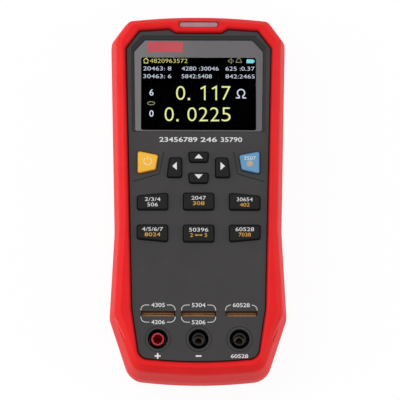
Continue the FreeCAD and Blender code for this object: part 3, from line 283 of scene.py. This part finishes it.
NOTCH = Vector((-44.5, -69.3))  # middle of the notch at the head of the left crease
NOTCH_REACH = (1.4, 1.8)        # from its middle, where the tone is full and where it is gone
NOTCH_STRENGTH = 0.6
HALF_UPRIGHT = 0.5
OFF_SLOPE = (0.44, 0.47)        # from half upright, where slopes end and where floors and walls begin


def painted_notch_light(shader, colour):
    """Painted light in the notch at the head of each crease: paler on its floor and walls only, so that their
    shadow is softer.
    """
    normal = shader.add("NewGeometry").outputs["True Normal"]
    upright = shader.add("SeparateXYZ", {"Vector": normal}).outputs["Z"]
    turn = shader.math("ABSOLUTE", shader.math("SUBTRACT", upright, HALF_UPRIGHT))
    floor_or_wall = shader.remap(turn, 0.0, 1.0, *OFF_SLOPE)
    distance = shader.vectors("DISTANCE", left_hip_place(shader), (NOTCH * MM).to_3d())["Value"]
    share = shader.math("MULTIPLY", floor_or_wall, shader.fall(distance, *NOTCH_REACH))
    return shader.tint(colour, CREASE_LIGHT_RED, share, NOTCH_STRENGTH)


# Dark red of the painted shade round the status light and on the lip
PAINTED_SHADE_RED = rgb(96, 6, 10)
LIGHT_REACH = (1.5, 0.7)    # bevel round the status light, beyond its ends and its sides
LIGHT_FADE = 0.3
LIGHT_RIM = 0.1
LIGHT_STRENGTH = 0.8


def painted_shade_round_status_light(shader, colour):
    """Painted shade on the bevel round the status light, dark towards its foot."""
    lens = "status_light_lens"
    share = shader.fall(shader.axis("Z"), high_of(lens, Z), BOOT_TOP - LIGHT_RIM)
    for axis, name in ((X, "X"), (Y, "Y")):
        middle = middle_of(lens, axis)
        edge = high_of(lens, axis) - middle + LIGHT_REACH[axis]
        inside = shader.fall(shader.off_middle(name, middle), edge, edge + LIGHT_FADE)
        share = shader.math("MULTIPLY", share, inside)
    return shader.tint(colour, PAINTED_SHADE_RED, share, LIGHT_STRENGTH)


LIP_TURN = (-12.0, -3.0)    # how far a face turns to the middle, where the tone is full and where it is gone
LIP_DEPTHS = (2.0, 0.2)     # below the boot's top, where the tone is full and where it is gone
LIP_HIPS = (-67.0, -66.0)   # along the tester, between the creases and what is above them
LIP_SIDES = (39.4, 39.8)    # from the middle line, between the lip and the creases
LIP_STRENGTH = 0.85


def painted_lip_shade(shader, colour):
    """Painted shade on the lip's inner slope, darker the further it goes down to the face."""
    normal = shader.add("NewGeometry").outputs["Normal"]
    flat = shader.vectors("MULTIPLY", shader.place, (1.0, 1.0, 0.0))[0]
    outward = shader.vectors("DOT_PRODUCT", flat, normal)["Value"]
    inward = shader.fall(outward, *LIP_TURN)
    depth = shader.fall(shader.axis("Z"), *(BOOT_TOP - drop for drop in LIP_DEPTHS))
    above_creases = shader.rise(shader.axis("Y"), *LIP_HIPS)
    between_creases = shader.fall(shader.off_middle("X", 0.0), *LIP_SIDES)
    on_lip = shader.math("MAXIMUM", above_creases, between_creases)
    share = shader.math("MULTIPLY", shader.math("MULTIPLY", inward, depth), on_lip)
    return shader.tint(colour, PAINTED_SHADE_RED, share, LIP_STRENGTH)


def boot_painted_light_and_shade(shader, colour):
    """All the painted light and shade of the boot."""
    for shade in (painted_crease_light, painted_notch_light, painted_shade_round_status_light, painted_lip_shade):
        colour = shade(shader, colour)
    return colour


# Painted shadow on the upper leaf of each slot
LEAF_SHADOW = (0.3, 0.9)    # from the slot's middle line, where the shadow begins and where it is full
LEAF_SHADOW_BROWN = rgb(84, 54, 32)


def painted_leaf_shadow(shader, colour):
    """Painted shadow on the leaf contacts: dark brown on the leaf that stands in the shadow of the slot's
    upper edge.
    """
    line = middle_of("slot_springs_high", Y)
    share = shader.rise(shader.axis("Y"), *(line + reach for reach in LEAF_SHADOW))
    return shader.mix(share, colour, LEAF_SHADOW_BROWN)


BARE_END_REACH = (0.8, 0.1)           # below the end of a sleeve, where the bare metal begins to show through the painted shade and where it is full
# Painted shade down the bore of each sleeve, and a painted reflection of the red tube inside it
BORE_SHADE = rgb(56, 46, 38)
RED_REFLECTION = rgb(150, 8, 14)


def sleeve_painted_shade_and_reflection(shader, colour):
    """Painted shade and reflection on the socket sleeves: bare metal colour at their ends, painted shade down
    the bore below, and a painted red reflection inside the red tube.
    """
    end = high_of("jack_sleeves", Z)
    share = shader.rise(shader.axis("Z"), *(end - drop for drop in BARE_END_REACH))
    bore_shaded = shader.mix(share, BORE_SHADE, colour)
    in_red = shader.math("LESS_THAN", shader.axis("X"), high_of("jack_positive", X) * MM)
    return shader.mix(in_red, bore_shaded, RED_REFLECTION)


# Display and board finishes

WINDOW = (-31.9, PANE_Y - 25.2, 31.9, PANE_Y + 16.2)
WINDOW_ROUND = 1.2


def window_mask(shader):
    """1 on the printed border of the pane and 0 in its clear window, from a rounded rectangle."""
    left, low, right, high = WINDOW
    sides = []
    for axis, start, end in (("X", left, right), ("Y", low, high)):
        half = (end - start) / 2 - WINDOW_ROUND
        beyond = shader.math("SUBTRACT", shader.off_middle(axis, (start + end) / 2), half * MM)
        sides.append(shader.math("MAXIMUM", beyond))
    corner = shader.add("CombineXYZ", {"X": sides[0], "Y": sides[1]}).outputs[0]
    distance = shader.vectors("LENGTH", corner)["Value"]
    return shader.math("GREATER_THAN", distance, WINDOW_ROUND * MM)


PANE_BEVEL_HIGHLIGHT = (0.12, 0.02)   # below the pane's top, where the pale edge is full and where it is gone
FLECK_SIZE = 0.5
FLECK_SHARE = 0.12


def pane(name):
    """Clear pane whose border is printed grey from behind, with painted light: paler towards the left, and a
    painted highlight along its bevel.
    """
    shader = Shader(name)
    border = window_mask(shader)
    # painted light: the border is paler towards the left
    across = shader.rise(shader.axis("X"), low_of("display_lens", X), middle_of("display_lens", X))
    grey = shader.mix(across, rgb(127, 124, 126), rgb(111, 109, 111))
    flecks = shader.mix(shader.remap(shader.noise(FLECK_SIZE), 0.0, FLECK_SHARE), grey, rgb(140, 137, 139))
    # painted highlight along the bevel, where the pane's top falls away
    bevel = shader.fall(shader.axis("Z"), *(LENS_TOP - drop for drop in PANE_BEVEL_HIGHLIGHT))
    bevel_highlighted = shader.mix(bevel, flecks, rgb(148, 147, 150))
    colour = shader.mix(border, (1.0, 1.0, 1.0, 1.0), bevel_highlighted)
    shader.principled({"Base Color": colour, "Transmission Weight": shader.math("SUBTRACT", 1.0, border),
                       "Roughness": shader.remap(border, 0.0, 0.32, 0.0, 1.0), "IOR": 1.0,
                       "Coat Weight": shader.math("MULTIPLY", border, 0.12), "Coat Roughness": 0.3})
    return shader.material


POINT_PITCH = 0.2


def picture_points(shader, wave):
    """Values from 0 to 1 in the lattice of the display's picture points."""
    waves = [shader.math(wave, shader.math("MULTIPLY", shader.axis(axis), math.tau / (POINT_PITCH * MM)))
             for axis in ("X", "Y")]
    return shader.remap(shader.math("MULTIPLY", waves[0], waves[1]), 0.0, 1.0, -1.0, 1.0)


def screen_glass(name):
    """Black display behind the pane, with the faint lattice of its picture points."""
    shader = Shader(name)
    colour = shader.mix(picture_points(shader, "SINE"), rgb(1, 1, 2), rgb(3, 3, 4))
    shader.principled({"Base Color": colour, "Roughness": shader.remap(shader.noise(0.4), 0.2, 0.3),
                       "Specular IOR Level": 0.0})
    return shader.material


def glowing(name, colour, dim):
    """Lit picture points of the display: a lattice of bright points on a slightly dimmer ground."""
    shader = Shader(name)
    light = shader.mix(picture_points(shader, "COSINE"), dim, colour)
    shader.principled({"Base Color": (0.0, 0.0, 0.0, 1.0), "Roughness": 0.4, "Specular IOR Level": 0.0,
                       "Emission Color": light, "Emission Strength": 1.0})
    return shader.material


def circuit_board(name):
    """Green solder mask with copper runs showing through as paler lines."""
    shader = Shader(name)
    runs = shader.add("TexBrick", {"Vector": shader.place, "Scale": 260.0, "Mortar Size": 0.035,
                                   "Color1": (0.008, 0.07, 0.03, 1), "Color2": (0.012, 0.09, 0.04, 1),
                                   "Mortar": (0.03, 0.16, 0.07, 1)})
    shader.principled({"Base Color": runs.outputs["Color"], "Coat Weight": 0.3,
                       "Roughness": shader.remap(shader.noise(0.6), 0.3, 0.42)})
    return shader.material


def milky(name, pale, deep, cloud=5.0, grain=0.3, relief=0.004):
    """Translucent diffuser that takes some colour from what is round it."""
    shader = Shader(name)
    colour = shader.mix(shader.remap(shader.noise(cloud), 0.0, 1.0), deep, pale)
    shader.principled({"Base Color": colour, "Roughness": shader.remap(shader.noise(grain), 0.28, 0.38),
                       "Subsurface Weight": 0.25, "Subsurface Radius": (0.8, 0.5, 0.5),
                       "Subsurface Scale": 1.2 * MM, "Normal": shader.bump(shader.noise(grain), relief)})
    return shader.material


def make_finishes():
    """One finish for each material slot of the record, and for the nodes that have their own."""
    case = {"pale": rgb(57, 55, 55), "deep": rgb(52, 50, 51), "rough": 0.6, "grain": 0.2, "relief": 0.014,
            "Specular_IOR_Level": 0.35}
    key = {"grain": 0.25, "relief": 0.006}
    tube = {"grain": 0.3, "relief": 0.004}
    return {
        "boot_red": moulded("boot_red", rgb(241, 31, 33), rgb(234, 26, 28), rough=0.52, grain=0.22,
                            relief=0.012, shade=boot_painted_light_and_shade, Specular_IOR_Level=0.16),
        "case_grey": moulded("case_grey", **case),
        # the face carries the painted shade of the recess round the pane
        "front_case": moulded("case_grey_face", shade=painted_recess_shade, **case),
        "lens_grey": pane("lens_grey"),
        "screen_black": screen_glass("screen_black"),
        "foam_black": moulded("foam_black", rgb(26, 26, 26), rgb(16, 16, 16), rough=0.9, grain=0.5,
                              relief=0.1),
        "light_milky": milky("light_milky", rgb(186, 142, 152), rgb(172, 128, 138)),
        "mat_grey": moulded("mat_grey", rgb(126, 126, 130), rgb(112, 112, 116), rough=0.6, grain=0.4,
                            relief=0.01),
        "carbon_black": moulded("carbon_black", rgb(28, 28, 28), rgb(18, 18, 18), rough=0.8, grain=0.2,
                                relief=0.01),
        "board_green": circuit_board("board_green"),
        "plated_steel": metal("plated_steel", rgb(206, 206, 210), rgb(170, 172, 178), rough=0.3, streak=6.0),
        "chip_black": moulded("chip_black", rgb(38, 38, 40), rgb(28, 28, 30), rough=0.55, grain=0.15,
                              relief=0.006),
        "jack_red": moulded("jack_red", rgb(186, 28, 50), rgb(170, 22, 42), rough=0.36, Subsurface_Weight=0.5,
                            Subsurface_Scale=1.5 * MM, Subsurface_Radius=(1.0, 0.1, 0.1), **tube),
        "jack_black": moulded("jack_black", rgb(15, 14, 14), rgb(10, 9, 9), rough=0.42,
                              Specular_IOR_Level=0.3, **tube),
        "brass": metal("brass", rgb(238, 182, 132), rgb(214, 158, 110), rough=0.5, streak=12.0, bare=0.1,
                       shade=painted_leaf_shadow),
        "jack_sleeves": metal("brass_plated", rgb(150, 138, 118), rgb(118, 106, 88), rough=0.32, streak=12.0,
                              shade=sleeve_painted_shade_and_reflection),
        "battery_wrap": moulded("battery_wrap", rgb(56, 98, 160), rgb(46, 84, 142), rough=0.35, grain=0.6,
                                relief=0.01),
        "key_amber": moulded("key_amber", rgb(252, 192, 54), rgb(246, 182, 44), rough=0.48,
                             shade=painted_key_side_shade(rgb(150, 68, 6)), **key),
        "key_blue": moulded("key_blue", rgb(102, 156, 198), rgb(92, 147, 190), rough=0.48,
                            shade=painted_key_side_shade(rgb(24, 46, 74)), **key),
        "key_black": moulded("key_black", rgb(23, 23, 24), rgb(18, 18, 19), rough=0.5,
                             shade=painted_key_side_shade(rgb(5, 5, 6)), Specular_IOR_Level=0.18, **key),
    }


def dress_nodes(finishes):
    for part in frame["record"]["subparts"]:
        node = frame["nodes"][part["node"]]
        own = finishes.get(part["node"])
        node.material_slots[0].material = own or finishes[part["material_slot"]]


# Flat marks

MITRE_LIMIT = 0.4       # least share of a bend's half width that a mitre is worked out from
WELD = 1e-7             # corners of patches closer than this, in metres, become one
BOLD = 0.04             # how far the strokes of bold figures are thickened


def arc(x, y, radius, start, end, steps=16):
    """Points of an arc between two angles in degrees."""
    angles = [math.radians(start + (end - start) * step / steps) for step in range(steps + 1)]
    return [(x + radius * math.cos(angle), y + radius * math.sin(angle)) for angle in angles]


def box(left, low, right, high):
    return [(left, low), (right, low), (right, high), (left, high)]


def ring(x, y, radius, steps):
    """Points all round a circle, each of them once."""
    return arc(x, y, radius, 0, 360, steps)[:-1]


def stroke(points, width, closed=False):
    """Outline strips of a line of even width: one four-cornered patch for each run, mitred at the bends."""
    count = len(points)
    sides = []
    for index in range(count):
        here = Vector(points[index])
        before = Vector(points[index - 1]) if closed or index else None
        after = Vector(points[(index + 1) % count]) if closed or index < count - 1 else None
        runs = [(b - a).normalized() for a, b in ((before, here), (here, after)) if a and b]
        normals = [Vector((-run.y, run.x)) for run in runs]
        middle = sum(normals, Vector((0, 0))).normalized()
        reach = width / 2 / max(middle.dot(normals[0]), MITRE_LIMIT)
        sides.append((here + middle * reach, here - middle * reach))
    pairs = list(zip(sides, sides[1:]))
    if closed:
        pairs.append((sides[-1], sides[0]))
    return [(a[0], a[1], b[1], b[0]) for a, b in pairs]


def add_mark(name, patches, level, ink, body=CASE):
    """A thin solid of ink made of flat patches, riding on a body."""
    shape = bmesh.new()
    for patch in patches:
        floor = [shape.verts.new((x * MM, y * MM, (level + INK_GAP) * MM)) for x, y in patch]
        shape.faces.new(floor)
    bmesh.ops.remove_doubles(shape, verts=shape.verts, dist=WELD)
    bmesh.ops.recalc_face_normals(shape, faces=shape.faces)
    grown = bmesh.ops.extrude_face_region(shape, geom=list(shape.faces), use_keep_orig=True)
    raised = [item for item in grown["geom"] if isinstance(item, bmesh.types.BMVert)]
    bmesh.ops.translate(shape, verts=raised, vec=(0, 0, INK * MM))
    bmesh.ops.recalc_face_normals(shape, faces=shape.faces)
    mesh = bpy.data.meshes.new(name)
    shape.to_mesh(mesh)
    shape.free()
    mesh.materials.append(ink)
    piece = bpy.data.objects.new(name, mesh)
    bpy.context.scene.collection.objects.link(piece)
    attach(piece, body)


def corners_of(piece):
    bpy.context.view_layer.update()
    return [Vector(corner) for corner in piece.bound_box]


def add_figures(name, text, height, x, y, level, ink, body=CASE, width=None, weight=0.0):
    """Plain figures as a thin solid, set to a height, and to a width where one is given, about a centre."""
    curve = bpy.data.curves.new(name, "FONT")
    curve.body = text
    curve.resolution_u = 4
    curve.offset = weight * MM
    curve.extrude = INK / 2 * MM
    curve.materials.append(ink)
    piece = bpy.data.objects.new(name, curve)
    bpy.context.scene.collection.objects.link(piece)
    corners = corners_of(piece)
    tall = max(corner.y for corner in corners) - min(corner.y for corner in corners)
    wide = max(corner.x for corner in corners) - min(corner.x for corner in corners)
    curve.size = height * MM / tall
    if width:
        piece.scale.x = width * MM / (wide * curve.size)
    corners = corners_of(piece)
    centre = sum(corners, Vector()) / len(corners)
    piece.location = (x * MM - centre.x * piece.scale.x, y * MM - centre.y, (level + INK_GAP + INK / 2) * MM)
    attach(piece, body)


# Printed marks on the case and keys

def mark_power_key(ink):
    """A ring that is open at the top, with a bar in the opening."""
    radius, line = 2.1, 0.5
    opening_end, opening_start = 125, 415
    bar_low, bar_high = 0.7, 2.8
    x, y = middle_of("key_power", X) - 0.1, middle_of("key_power", Y) + 0.5
    open_ring = stroke(arc(x, y, radius, opening_end, opening_start, 28), line)
    bar = stroke([(x, y + bar_low), (x, y + bar_high)], line)
    add_mark("power_sign", open_ring + bar, KEY_TOP, ink, "key_power_body")


def mark_arrow_keys(ink):
    """A triangle on each of the four direction keys, pointing its way."""
    half, reach = 2.25, 2.5
    turns = {"key_up": (90, 0.35), "key_down": (270, 0.7), "key_left": (180, 0.7), "key_right": (0, 0.7)}
    for key, (angle, rise) in turns.items():
        way = Vector((math.cos(math.radians(angle)), math.sin(math.radians(angle))))
        side = Vector((-way.y, way.x))
        centre = Vector((middle_of(key, X), middle_of(key, Y) + rise))
        tip = centre + way * reach / 2
        foot = centre - way * reach / 2
        add_mark(key + "_sign", [(tip, foot + side * half, foot - side * half)], KEY_TOP, ink, key + "_body")


def mark_trigger_key(white, amber):
    """Plain figures over a ring with a dot in it."""
    figure_rise, figure_height, figure_width = 2.4, 2.0, 6.4
    sign_drop, ring_radius, ring_line, dot_radius = 0.7, 1.35, 0.5, 0.75
    x, y = middle_of("key_trigger", X), middle_of("key_trigger", Y)
    add_figures("trigger_figures", "3507", figure_height, x + 0.2, y + figure_rise, KEY_TOP, white,
                "key_trigger_body", width=figure_width)
    centre = (x + 0.1, y - sign_drop)
    round_line = stroke(ring(*centre, ring_radius, 20), ring_line, closed=True)
    add_mark("trigger_sign", round_line + [ring(*centre, dot_radius, 12)], KEY_TOP, amber, "key_trigger_body")


# Upper figures and their width, lower figures and their width, and how far both rows are raised
FUNCTION_FIGURES = {
    "key_function_1": ("2/3/4", 8.6, "506", 5.8, -0.4),
    "key_function_2": ("2047", 8.0, "308", 6.4, 0.3),
    "key_function_3": ("30654", 8.8, "402", 5.3, -0.4),
    "key_function_4": ("4/5/6/7", 11.5, "8024", 8.6, 0.65),
    "key_function_5": ("50396", 10.5, "2      5", 9.4, 0.4),
    "key_function_6": ("60528", 10.2, "7038", 6.6, 0.65),
}


def mark_function_keys(white, amber):
    """Two rows of plain figures on each function key, the lower one amber on all but the first."""
    cap, row_pitch = 2.1, 3.0
    for key, (upper, upper_width, lower, lower_width, rise) in FUNCTION_FIGURES.items():
        x, y = middle_of(key, X), middle_of(key, Y) + rise
        ink = white if key == "key_function_1" else amber
        body = key + "_body"
        add_figures(key + "_upper", upper, cap, x, y + row_pitch / 2, KEY_TOP, white, body,
                    width=upper_width)
        add_figures(key + "_lower", lower, cap, x, y - row_pitch / 2, KEY_TOP, ink, body,
                    width=lower_width)
        if key == "key_function_5":
            add_mark(key + "_arrow", two_way_arrow(x, y - row_pitch / 2), KEY_TOP, ink, body)


def two_way_arrow(x, y):
    """A short line with a head at each end."""
    half, tip, head, line = 1.2, 2.2, 0.6, 0.4
    heads = [((x + way * tip, y), (x + way * half, y + head), (x + way * half, y - head)) for way in (-1, 1)]
    return stroke([(x - half, y), (x + half, y)], line) + heads


SLOT_FIGURES = {"slot_springs_high": ("4305", "4206"), "slot_springs_low": ("5304", "5206"),
                "slot_springs_guard": ("60528", None)}


def mark_slots(ink):
    """Brackets with wide bends above and below the fixture slots, broken for plain figures."""
    rise, level_rise, bend, line, overhang = 1.75, 4.75, 2.6, 0.32, 0.4
    figure_height, figure_pitch, figure_weight = 2.2, 1.85, 0.02
    gap_pitch, gap_margin = 0.95, 1.0
    for node, texts in SLOT_FIGURES.items():
        x, y = middle_of(node, X), middle_of(node, Y)
        half = (high_of(node, X) - low_of(node, X)) / 2 + overhang
        for way, text in zip((1, -1), texts):
            if not text:
                continue
            gap = gap_pitch * len(text) + gap_margin
            level = y + way * level_rise
            patches = []
            for side in (-1, 1):
                end = x + side * half
                start = 180 if side < 0 else 0
                turn = arc(end - side * bend, level - way * bend, bend, start * way, 90 * way, 8)
                patches += stroke([(end, y + way * rise)] + turn + [(x + side * gap, level)], line)
            label = f"{node}_{'upper' if way > 0 else 'lower'}"
            add_mark(label + "_bracket", patches, FACE, ink)
            add_figures(label + "_figures", text, figure_height, x, level, FACE, ink,
                        width=figure_pitch * len(text), weight=figure_weight)


def mark_jacks(ink):
    """Plus and minus below two jacks, and plain figures below the third."""
    drop, arm, half = 2.4, 1.6, 0.42
    line = low_of("jack_negative", Y) - drop
    x = middle_of("jack_positive", X)
    plus = [(x - arm, line - half), (x - half, line - half), (x - half, line - arm), (x + half, line - arm),
            (x + half, line - half), (x + arm, line - half), (x + arm, line + half), (x + half, line + half),
            (x + half, line + arm), (x - half, line + arm), (x - half, line + half), (x - arm, line + half)]
    add_mark("plus_sign", [plus], FACE, ink)
    x = middle_of("jack_negative", X)
    add_mark("minus_sign", stroke([(x - arm, line), (x + arm, line)], half * 2), FACE, ink)
    x = middle_of("jack_guard", X)
    add_figures("guard_figures", "60528", 2.0, x, line, FACE, ink, width=9.4, weight=BOLD)


def mark_face(ink):
    """Three groups of figures in the line under the display, each with its middle and its width."""
    drop, height = 4.85, 2.6
    line = low_of("display_lens", Y) - drop
    for name, text, x, width in (("left", "23456789", -11.2, 20.9), ("middle", "246", 5.6, 8.9),
                                 ("right", "35790", 18.1, 11.7)):
        add_figures("line_figures_" + name, text, height, x, line, FACE, ink, width=width, weight=BOLD)


PLATE = (-28.3, PANE_Y + 19.1, -8.8, PANE_Y + 25.0)


def mark_plate(ink):
    """The bare red plate in the upper left of the pane's border."""
    add_mark("plate", [box(*PLATE)], LENS_TOP, ink)


# Picture on the display, with heights measured from the middle of the pane

def show_mark(name, patches, ink):
    raised = [[(x, PANE_Y + y) for x, y in patch] for patch in patches]
    add_mark(name, raised, PANEL_TOP, ink)


def show_figures(name, text, height, x, y, ink, width=None, weight=0.0):
    add_figures(name, text, height, x, PANE_Y + y, PANEL_TOP, ink, width=width,
                weight=weight)


CELL = 6.31             # pitch of the large figures
LAST_CELL = 15.3        # middle of the last one
READING_HEIGHT = 8.1
READING_WIDTH = 5.3
READING_WEIGHT = -0.12


def show_reading(figures, middle, ink, row):
    """Large figures in even cells that end at the right, with the point in a cell of its own."""
    low, high = middle - READING_HEIGHT / 2, middle + READING_HEIGHT / 2
    point, point_shift = 0.62, 1.7
    stem, flag, flag_drop, line = 0.8, 1.5, 1.7, 0.85
    for index, figure in enumerate(reversed(figures)):
        x = LAST_CELL - index * CELL
        name = f"reading_{row}_{index}"
        if figure == ".":
            x, y = x - point_shift, low + point
            show_mark(name, [box(x - point, y - point, x + point, y + point)], ink)
        elif figure == "1":
            one = [(x - flag, high - flag_drop), (x + stem, high - 0.4), (x + stem, low)]
            show_mark(name, stroke(one, line), ink)
        else:
            show_figures(name, figure, READING_HEIGHT, x, middle, ink, width=READING_WIDTH,
                         weight=READING_WEIGHT)


# Middle, width and figures of each entry in the two rows
STATUS = (
    ((-22.9, 15.6, "20463: 8"), (0.9, 20.6, "4280 :30046"), (23.1, 16.2, "625 :0.37")),
    ((-22.9, 15.6, "30463: 6"), (-1.0, 16.8, "5842:5408"), (23.1, 16.2, "842:2465")),
)
STATUS_Y = 10.5
STATUS_PITCH = 4.4
STATUS_HEIGHT = 2.3
SMALL_WEIGHT = -0.03    # small figures are this much thinner than the font


def show_status(white, yellow, dim, cyan):
    """Title line, icons and two rows of small figures at the top of the display."""
    for row, entries in enumerate(STATUS):
        for column, (x, width, text) in enumerate(entries):
            y = STATUS_Y - row * STATUS_PITCH
            show_figures(f"status_{row}_{column}", text, STATUS_HEIGHT, x, y, white, width, SMALL_WEIGHT)
    show_figures("title_figures", "4820963572", 2.4, -16.6, 14.85, yellow, 21.0, SMALL_WEIGHT)
    roof = [(-30.7, 14.9), (-29.2, 16.4), (-27.7, 14.9)]
    walls = [(-30.2, 14.6), (-30.2, 13.6), (-28.2, 13.6), (-28.2, 14.6)]
    show_mark("home_icon", stroke(roof, 0.45) + stroke(walls, 0.45), yellow)
    horn = [(16.6, 14.4), (17.3, 14.4), (18.3, 13.5), (18.3, 16.3), (17.3, 15.4), (16.6, 15.4)]
    waves = stroke(arc(18.4, 14.9, 0.9, -50, 50, 8), 0.35)
    show_mark("sound_icon", stroke(horn, 0.3, closed=True) + waves, dim)
    bell = [(20.8, 14.1)] + arc(22.4, 15.2, 1.1, 180, 0, 10) + [(24.0, 14.1)]
    show_mark("bell_icon", stroke(bell, 0.35, closed=True), dim)
    cell = box(26.7, 13.65, 30.6, 15.8)
    knob = box(30.7, 14.2, 31.2, 15.25)
    show_mark("battery_icon", [cell, knob], cyan)


def show_picture():
    """The readings, a figure before each of them, an oval between the rows, the unit and the status lines."""
    reading = glowing("reading_light", rgb(236, 242, 168), rgb(222, 230, 140))
    white = glowing("status_light", rgb(226, 230, 246), rgb(204, 210, 232))
    yellow = glowing("title_light", rgb(216, 216, 128), rgb(196, 196, 108))
    dim = glowing("icon_light", rgb(150, 150, 118), rgb(132, 132, 104))
    cyan = glowing("battery_light", rgb(140, 226, 232), rgb(122, 208, 218))
    show_reading("0.117", -3.4, reading, "upper")
    show_reading("0.0225", -15.5, reading, "lower")
    for text, y in (("6", -3.1), ("0", -15.1)):
        show_figures(f"row_figure_{text}", text, 3.6, -26.1, y, white, weight=BOLD)
    oval_x, oval_y, half_width, half_height = -26.3, -9.3, 2.0, 0.9
    oval = [(oval_x + half_width * x, oval_y + half_height * y) for x, y in ring(0, 0, 1.0, 24)]
    show_mark("row_oval", stroke(oval, 0.4, closed=True), dim)
    ohm = [(20.7, -6.1), (22.6, -6.1)] + arc(23.6, -3.3, 2.0, 240, -60, 18) + [(24.6, -6.1), (26.5, -6.1)]
    show_mark("unit_sign", stroke(ohm, 0.62), white)
    show_status(white, yellow, dim, cyan)


# Floor, light and camera

def seen_by_eye(add, link):
    """1 for camera, glossy and clear rays, and 0 for light on its way to the object."""
    path = add("ShaderNodeLightPath")
    seen = path.outputs["Is Camera Ray"]
    for kind in ("Is Glossy Ray", "Is Transmission Ray"):
        either = add("ShaderNodeMath")
        either.operation = "MAXIMUM"
        link(seen, either.inputs[0])
        link(path.outputs[kind], either.inputs[1])
        seen = either.outputs[0]
    return seen


FLOOR_HALF = 6.0        # metres
FLOOR_DROP = 0.05
FLOOR_PALE = (0.75, 0.75, 0.75, 1), (0.79, 0.79, 0.79, 1)
FLOOR_SHADOW = (0.08, 0.08, 0.08, 1)    # what the eye sees of the light on the floor, over a white glow
FLOOR_GLOW = 0.93


def add_floor():
    """A white floor that keeps a faint shadow and is clear from below, so that the back can be looked at."""
    shader = Shader("floor_pale")
    seen = seen_by_eye(shader.tree.nodes.new, shader.tree.links.new)
    pale = shader.mix(shader.noise(300.0), *FLOOR_PALE)
    matt = shader.add("BsdfDiffuse", {"Color": shader.mix(seen, pale, FLOOR_SHADOW)})
    strength = shader.math("MULTIPLY", seen, FLOOR_GLOW)
    glow = shader.add("Emission", {"Color": (1, 1, 1, 1), "Strength": strength})
    lit = shader.add("AddShader", {0: matt.outputs[0], 1: glow.outputs[0]})
    back = shader.add("NewGeometry").outputs["Backfacing"]
    clear = shader.add("BsdfTransparent")
    shader.finish(shader.add("MixShader", {0: back, 1: lit.outputs[0], 2: clear.outputs[0]}).outputs[0])
    mesh = bpy.data.meshes.new("floor")
    corners = box(-FLOOR_HALF, -FLOOR_HALF, FLOOR_HALF, FLOOR_HALF)
    mesh.from_pydata([(x, y, -FLOOR_DROP * MM) for x, y in corners], [], [(0, 1, 2, 3)])
    mesh.materials.append(shader.material)
    floor = bpy.data.objects.new("floor", mesh)
    bpy.context.scene.collection.objects.link(floor)


# Light of the studio: its level, and how it grows towards the right, the display end and the top
STUDIO_LEVEL = 0.6
STUDIO_SLOPE = (-0.13, 0.18, 0.05)


def add_world():
    """Soft light from above and from the upper left, and white where the background is seen."""
    world = bpy.data.worlds.new("studio")
    world.use_nodes = True
    tree = world.node_tree
    seen = seen_by_eye(tree.nodes.new, tree.links.new)
    way = tree.nodes.new("ShaderNodeTexCoord").outputs["Generated"]
    slope = tree.nodes.new("ShaderNodeVectorMath")
    slope.operation = "DOT_PRODUCT"
    slope.inputs[1].default_value = STUDIO_SLOPE
    level = tree.nodes.new("ShaderNodeMath")
    level.inputs[1].default_value = STUDIO_LEVEL
    choice = tree.nodes.new("ShaderNodeMix")
    choice.inputs["B"].default_value = 1.0
    tree.links.new(way, slope.inputs[0])
    tree.links.new(slope.outputs["Value"], level.inputs[0])
    tree.links.new(seen, choice.inputs["Factor"])
    tree.links.new(level.outputs[0], choice.inputs["A"])
    tree.links.new(choice.outputs["Result"], tree.nodes["Background"].inputs["Strength"])
    tree.nodes["Background"].inputs["Color"].default_value = (1, 1, 1, 1)
    bpy.context.scene.world = world


# Place and size in metres, and power in watts
LAMPS = {
    "key_lamp": ((-0.9, 0.7, 1.7), 1.2, 5.5),
    "left_lamp": ((-1.3, -0.1, 0.5), 0.7, 4.6),
    "right_lamp": ((1.3, -0.2, 0.5), 0.7, 4.6),
}


def add_lamps():
    """Round lamps that face the object."""
    for name, (place, size, power) in LAMPS.items():
        lamp = bpy.data.lights.new(name, "AREA")
        lamp.shape = "DISK"
        lamp.size = size
        lamp.energy = power
        thing = bpy.data.objects.new(name, lamp)
        thing.location = place
        thing.rotation_euler = (-Vector(place)).to_track_quat("-Z", "Y").to_euler()
        bpy.context.scene.collection.objects.link(thing)


TILT, YAW = 11.0, 0.8
EYE_DISTANCE = 2000.0
TARGET = (0.0, 0.0, 17.5)
FRAME_SHIFT = (0.98, -0.5)
FOCAL = 324.3
SENSOR = 36.0


def add_camera():
    """A long lens nearly above the face, tipped towards the foot end."""
    camera = bpy.data.cameras.new("camera")
    camera.sensor_width = SENSOR
    camera.lens = FOCAL
    camera.clip_end = 50.0
    eye = bpy.data.objects.new("camera", camera)
    eye.rotation_euler = Euler((math.radians(TILT), math.radians(-YAW), 0.0))
    away = Vector((FRAME_SHIFT[0], FRAME_SHIFT[1], EYE_DISTANCE))
    eye.location = (Vector(TARGET) + eye.rotation_euler.to_matrix() @ away) * MM
    bpy.context.scene.collection.objects.link(eye)
    bpy.context.scene.camera = eye


def printing_ink(name, pale, deep, rough=0.5):
    return moulded(name, pale, deep, rough, grain=0.3, relief=0.002)


def main():
    dress_nodes(make_finishes())
    white = printing_ink("ink_white", rgb(238, 238, 238), rgb(226, 226, 226))
    cream = printing_ink("ink_cream", rgb(250, 226, 178), rgb(244, 218, 166))
    amber = printing_ink("ink_amber", rgb(232, 176, 78), rgb(222, 164, 64))
    plate = printing_ink("ink_red", rgb(202, 72, 82), rgb(194, 64, 74), rough=0.35)
    mark_power_key(cream)
    mark_arrow_keys(white)
    mark_trigger_key(white, amber)
    mark_function_keys(white, amber)
    mark_slots(white)
    mark_jacks(white)
    mark_face(white)
    mark_plate(plate)
    show_picture()
    add_floor()
    add_world()
    add_lamps()
    add_camera()
    bpy.context.scene.view_settings.view_transform = "Standard"


main()
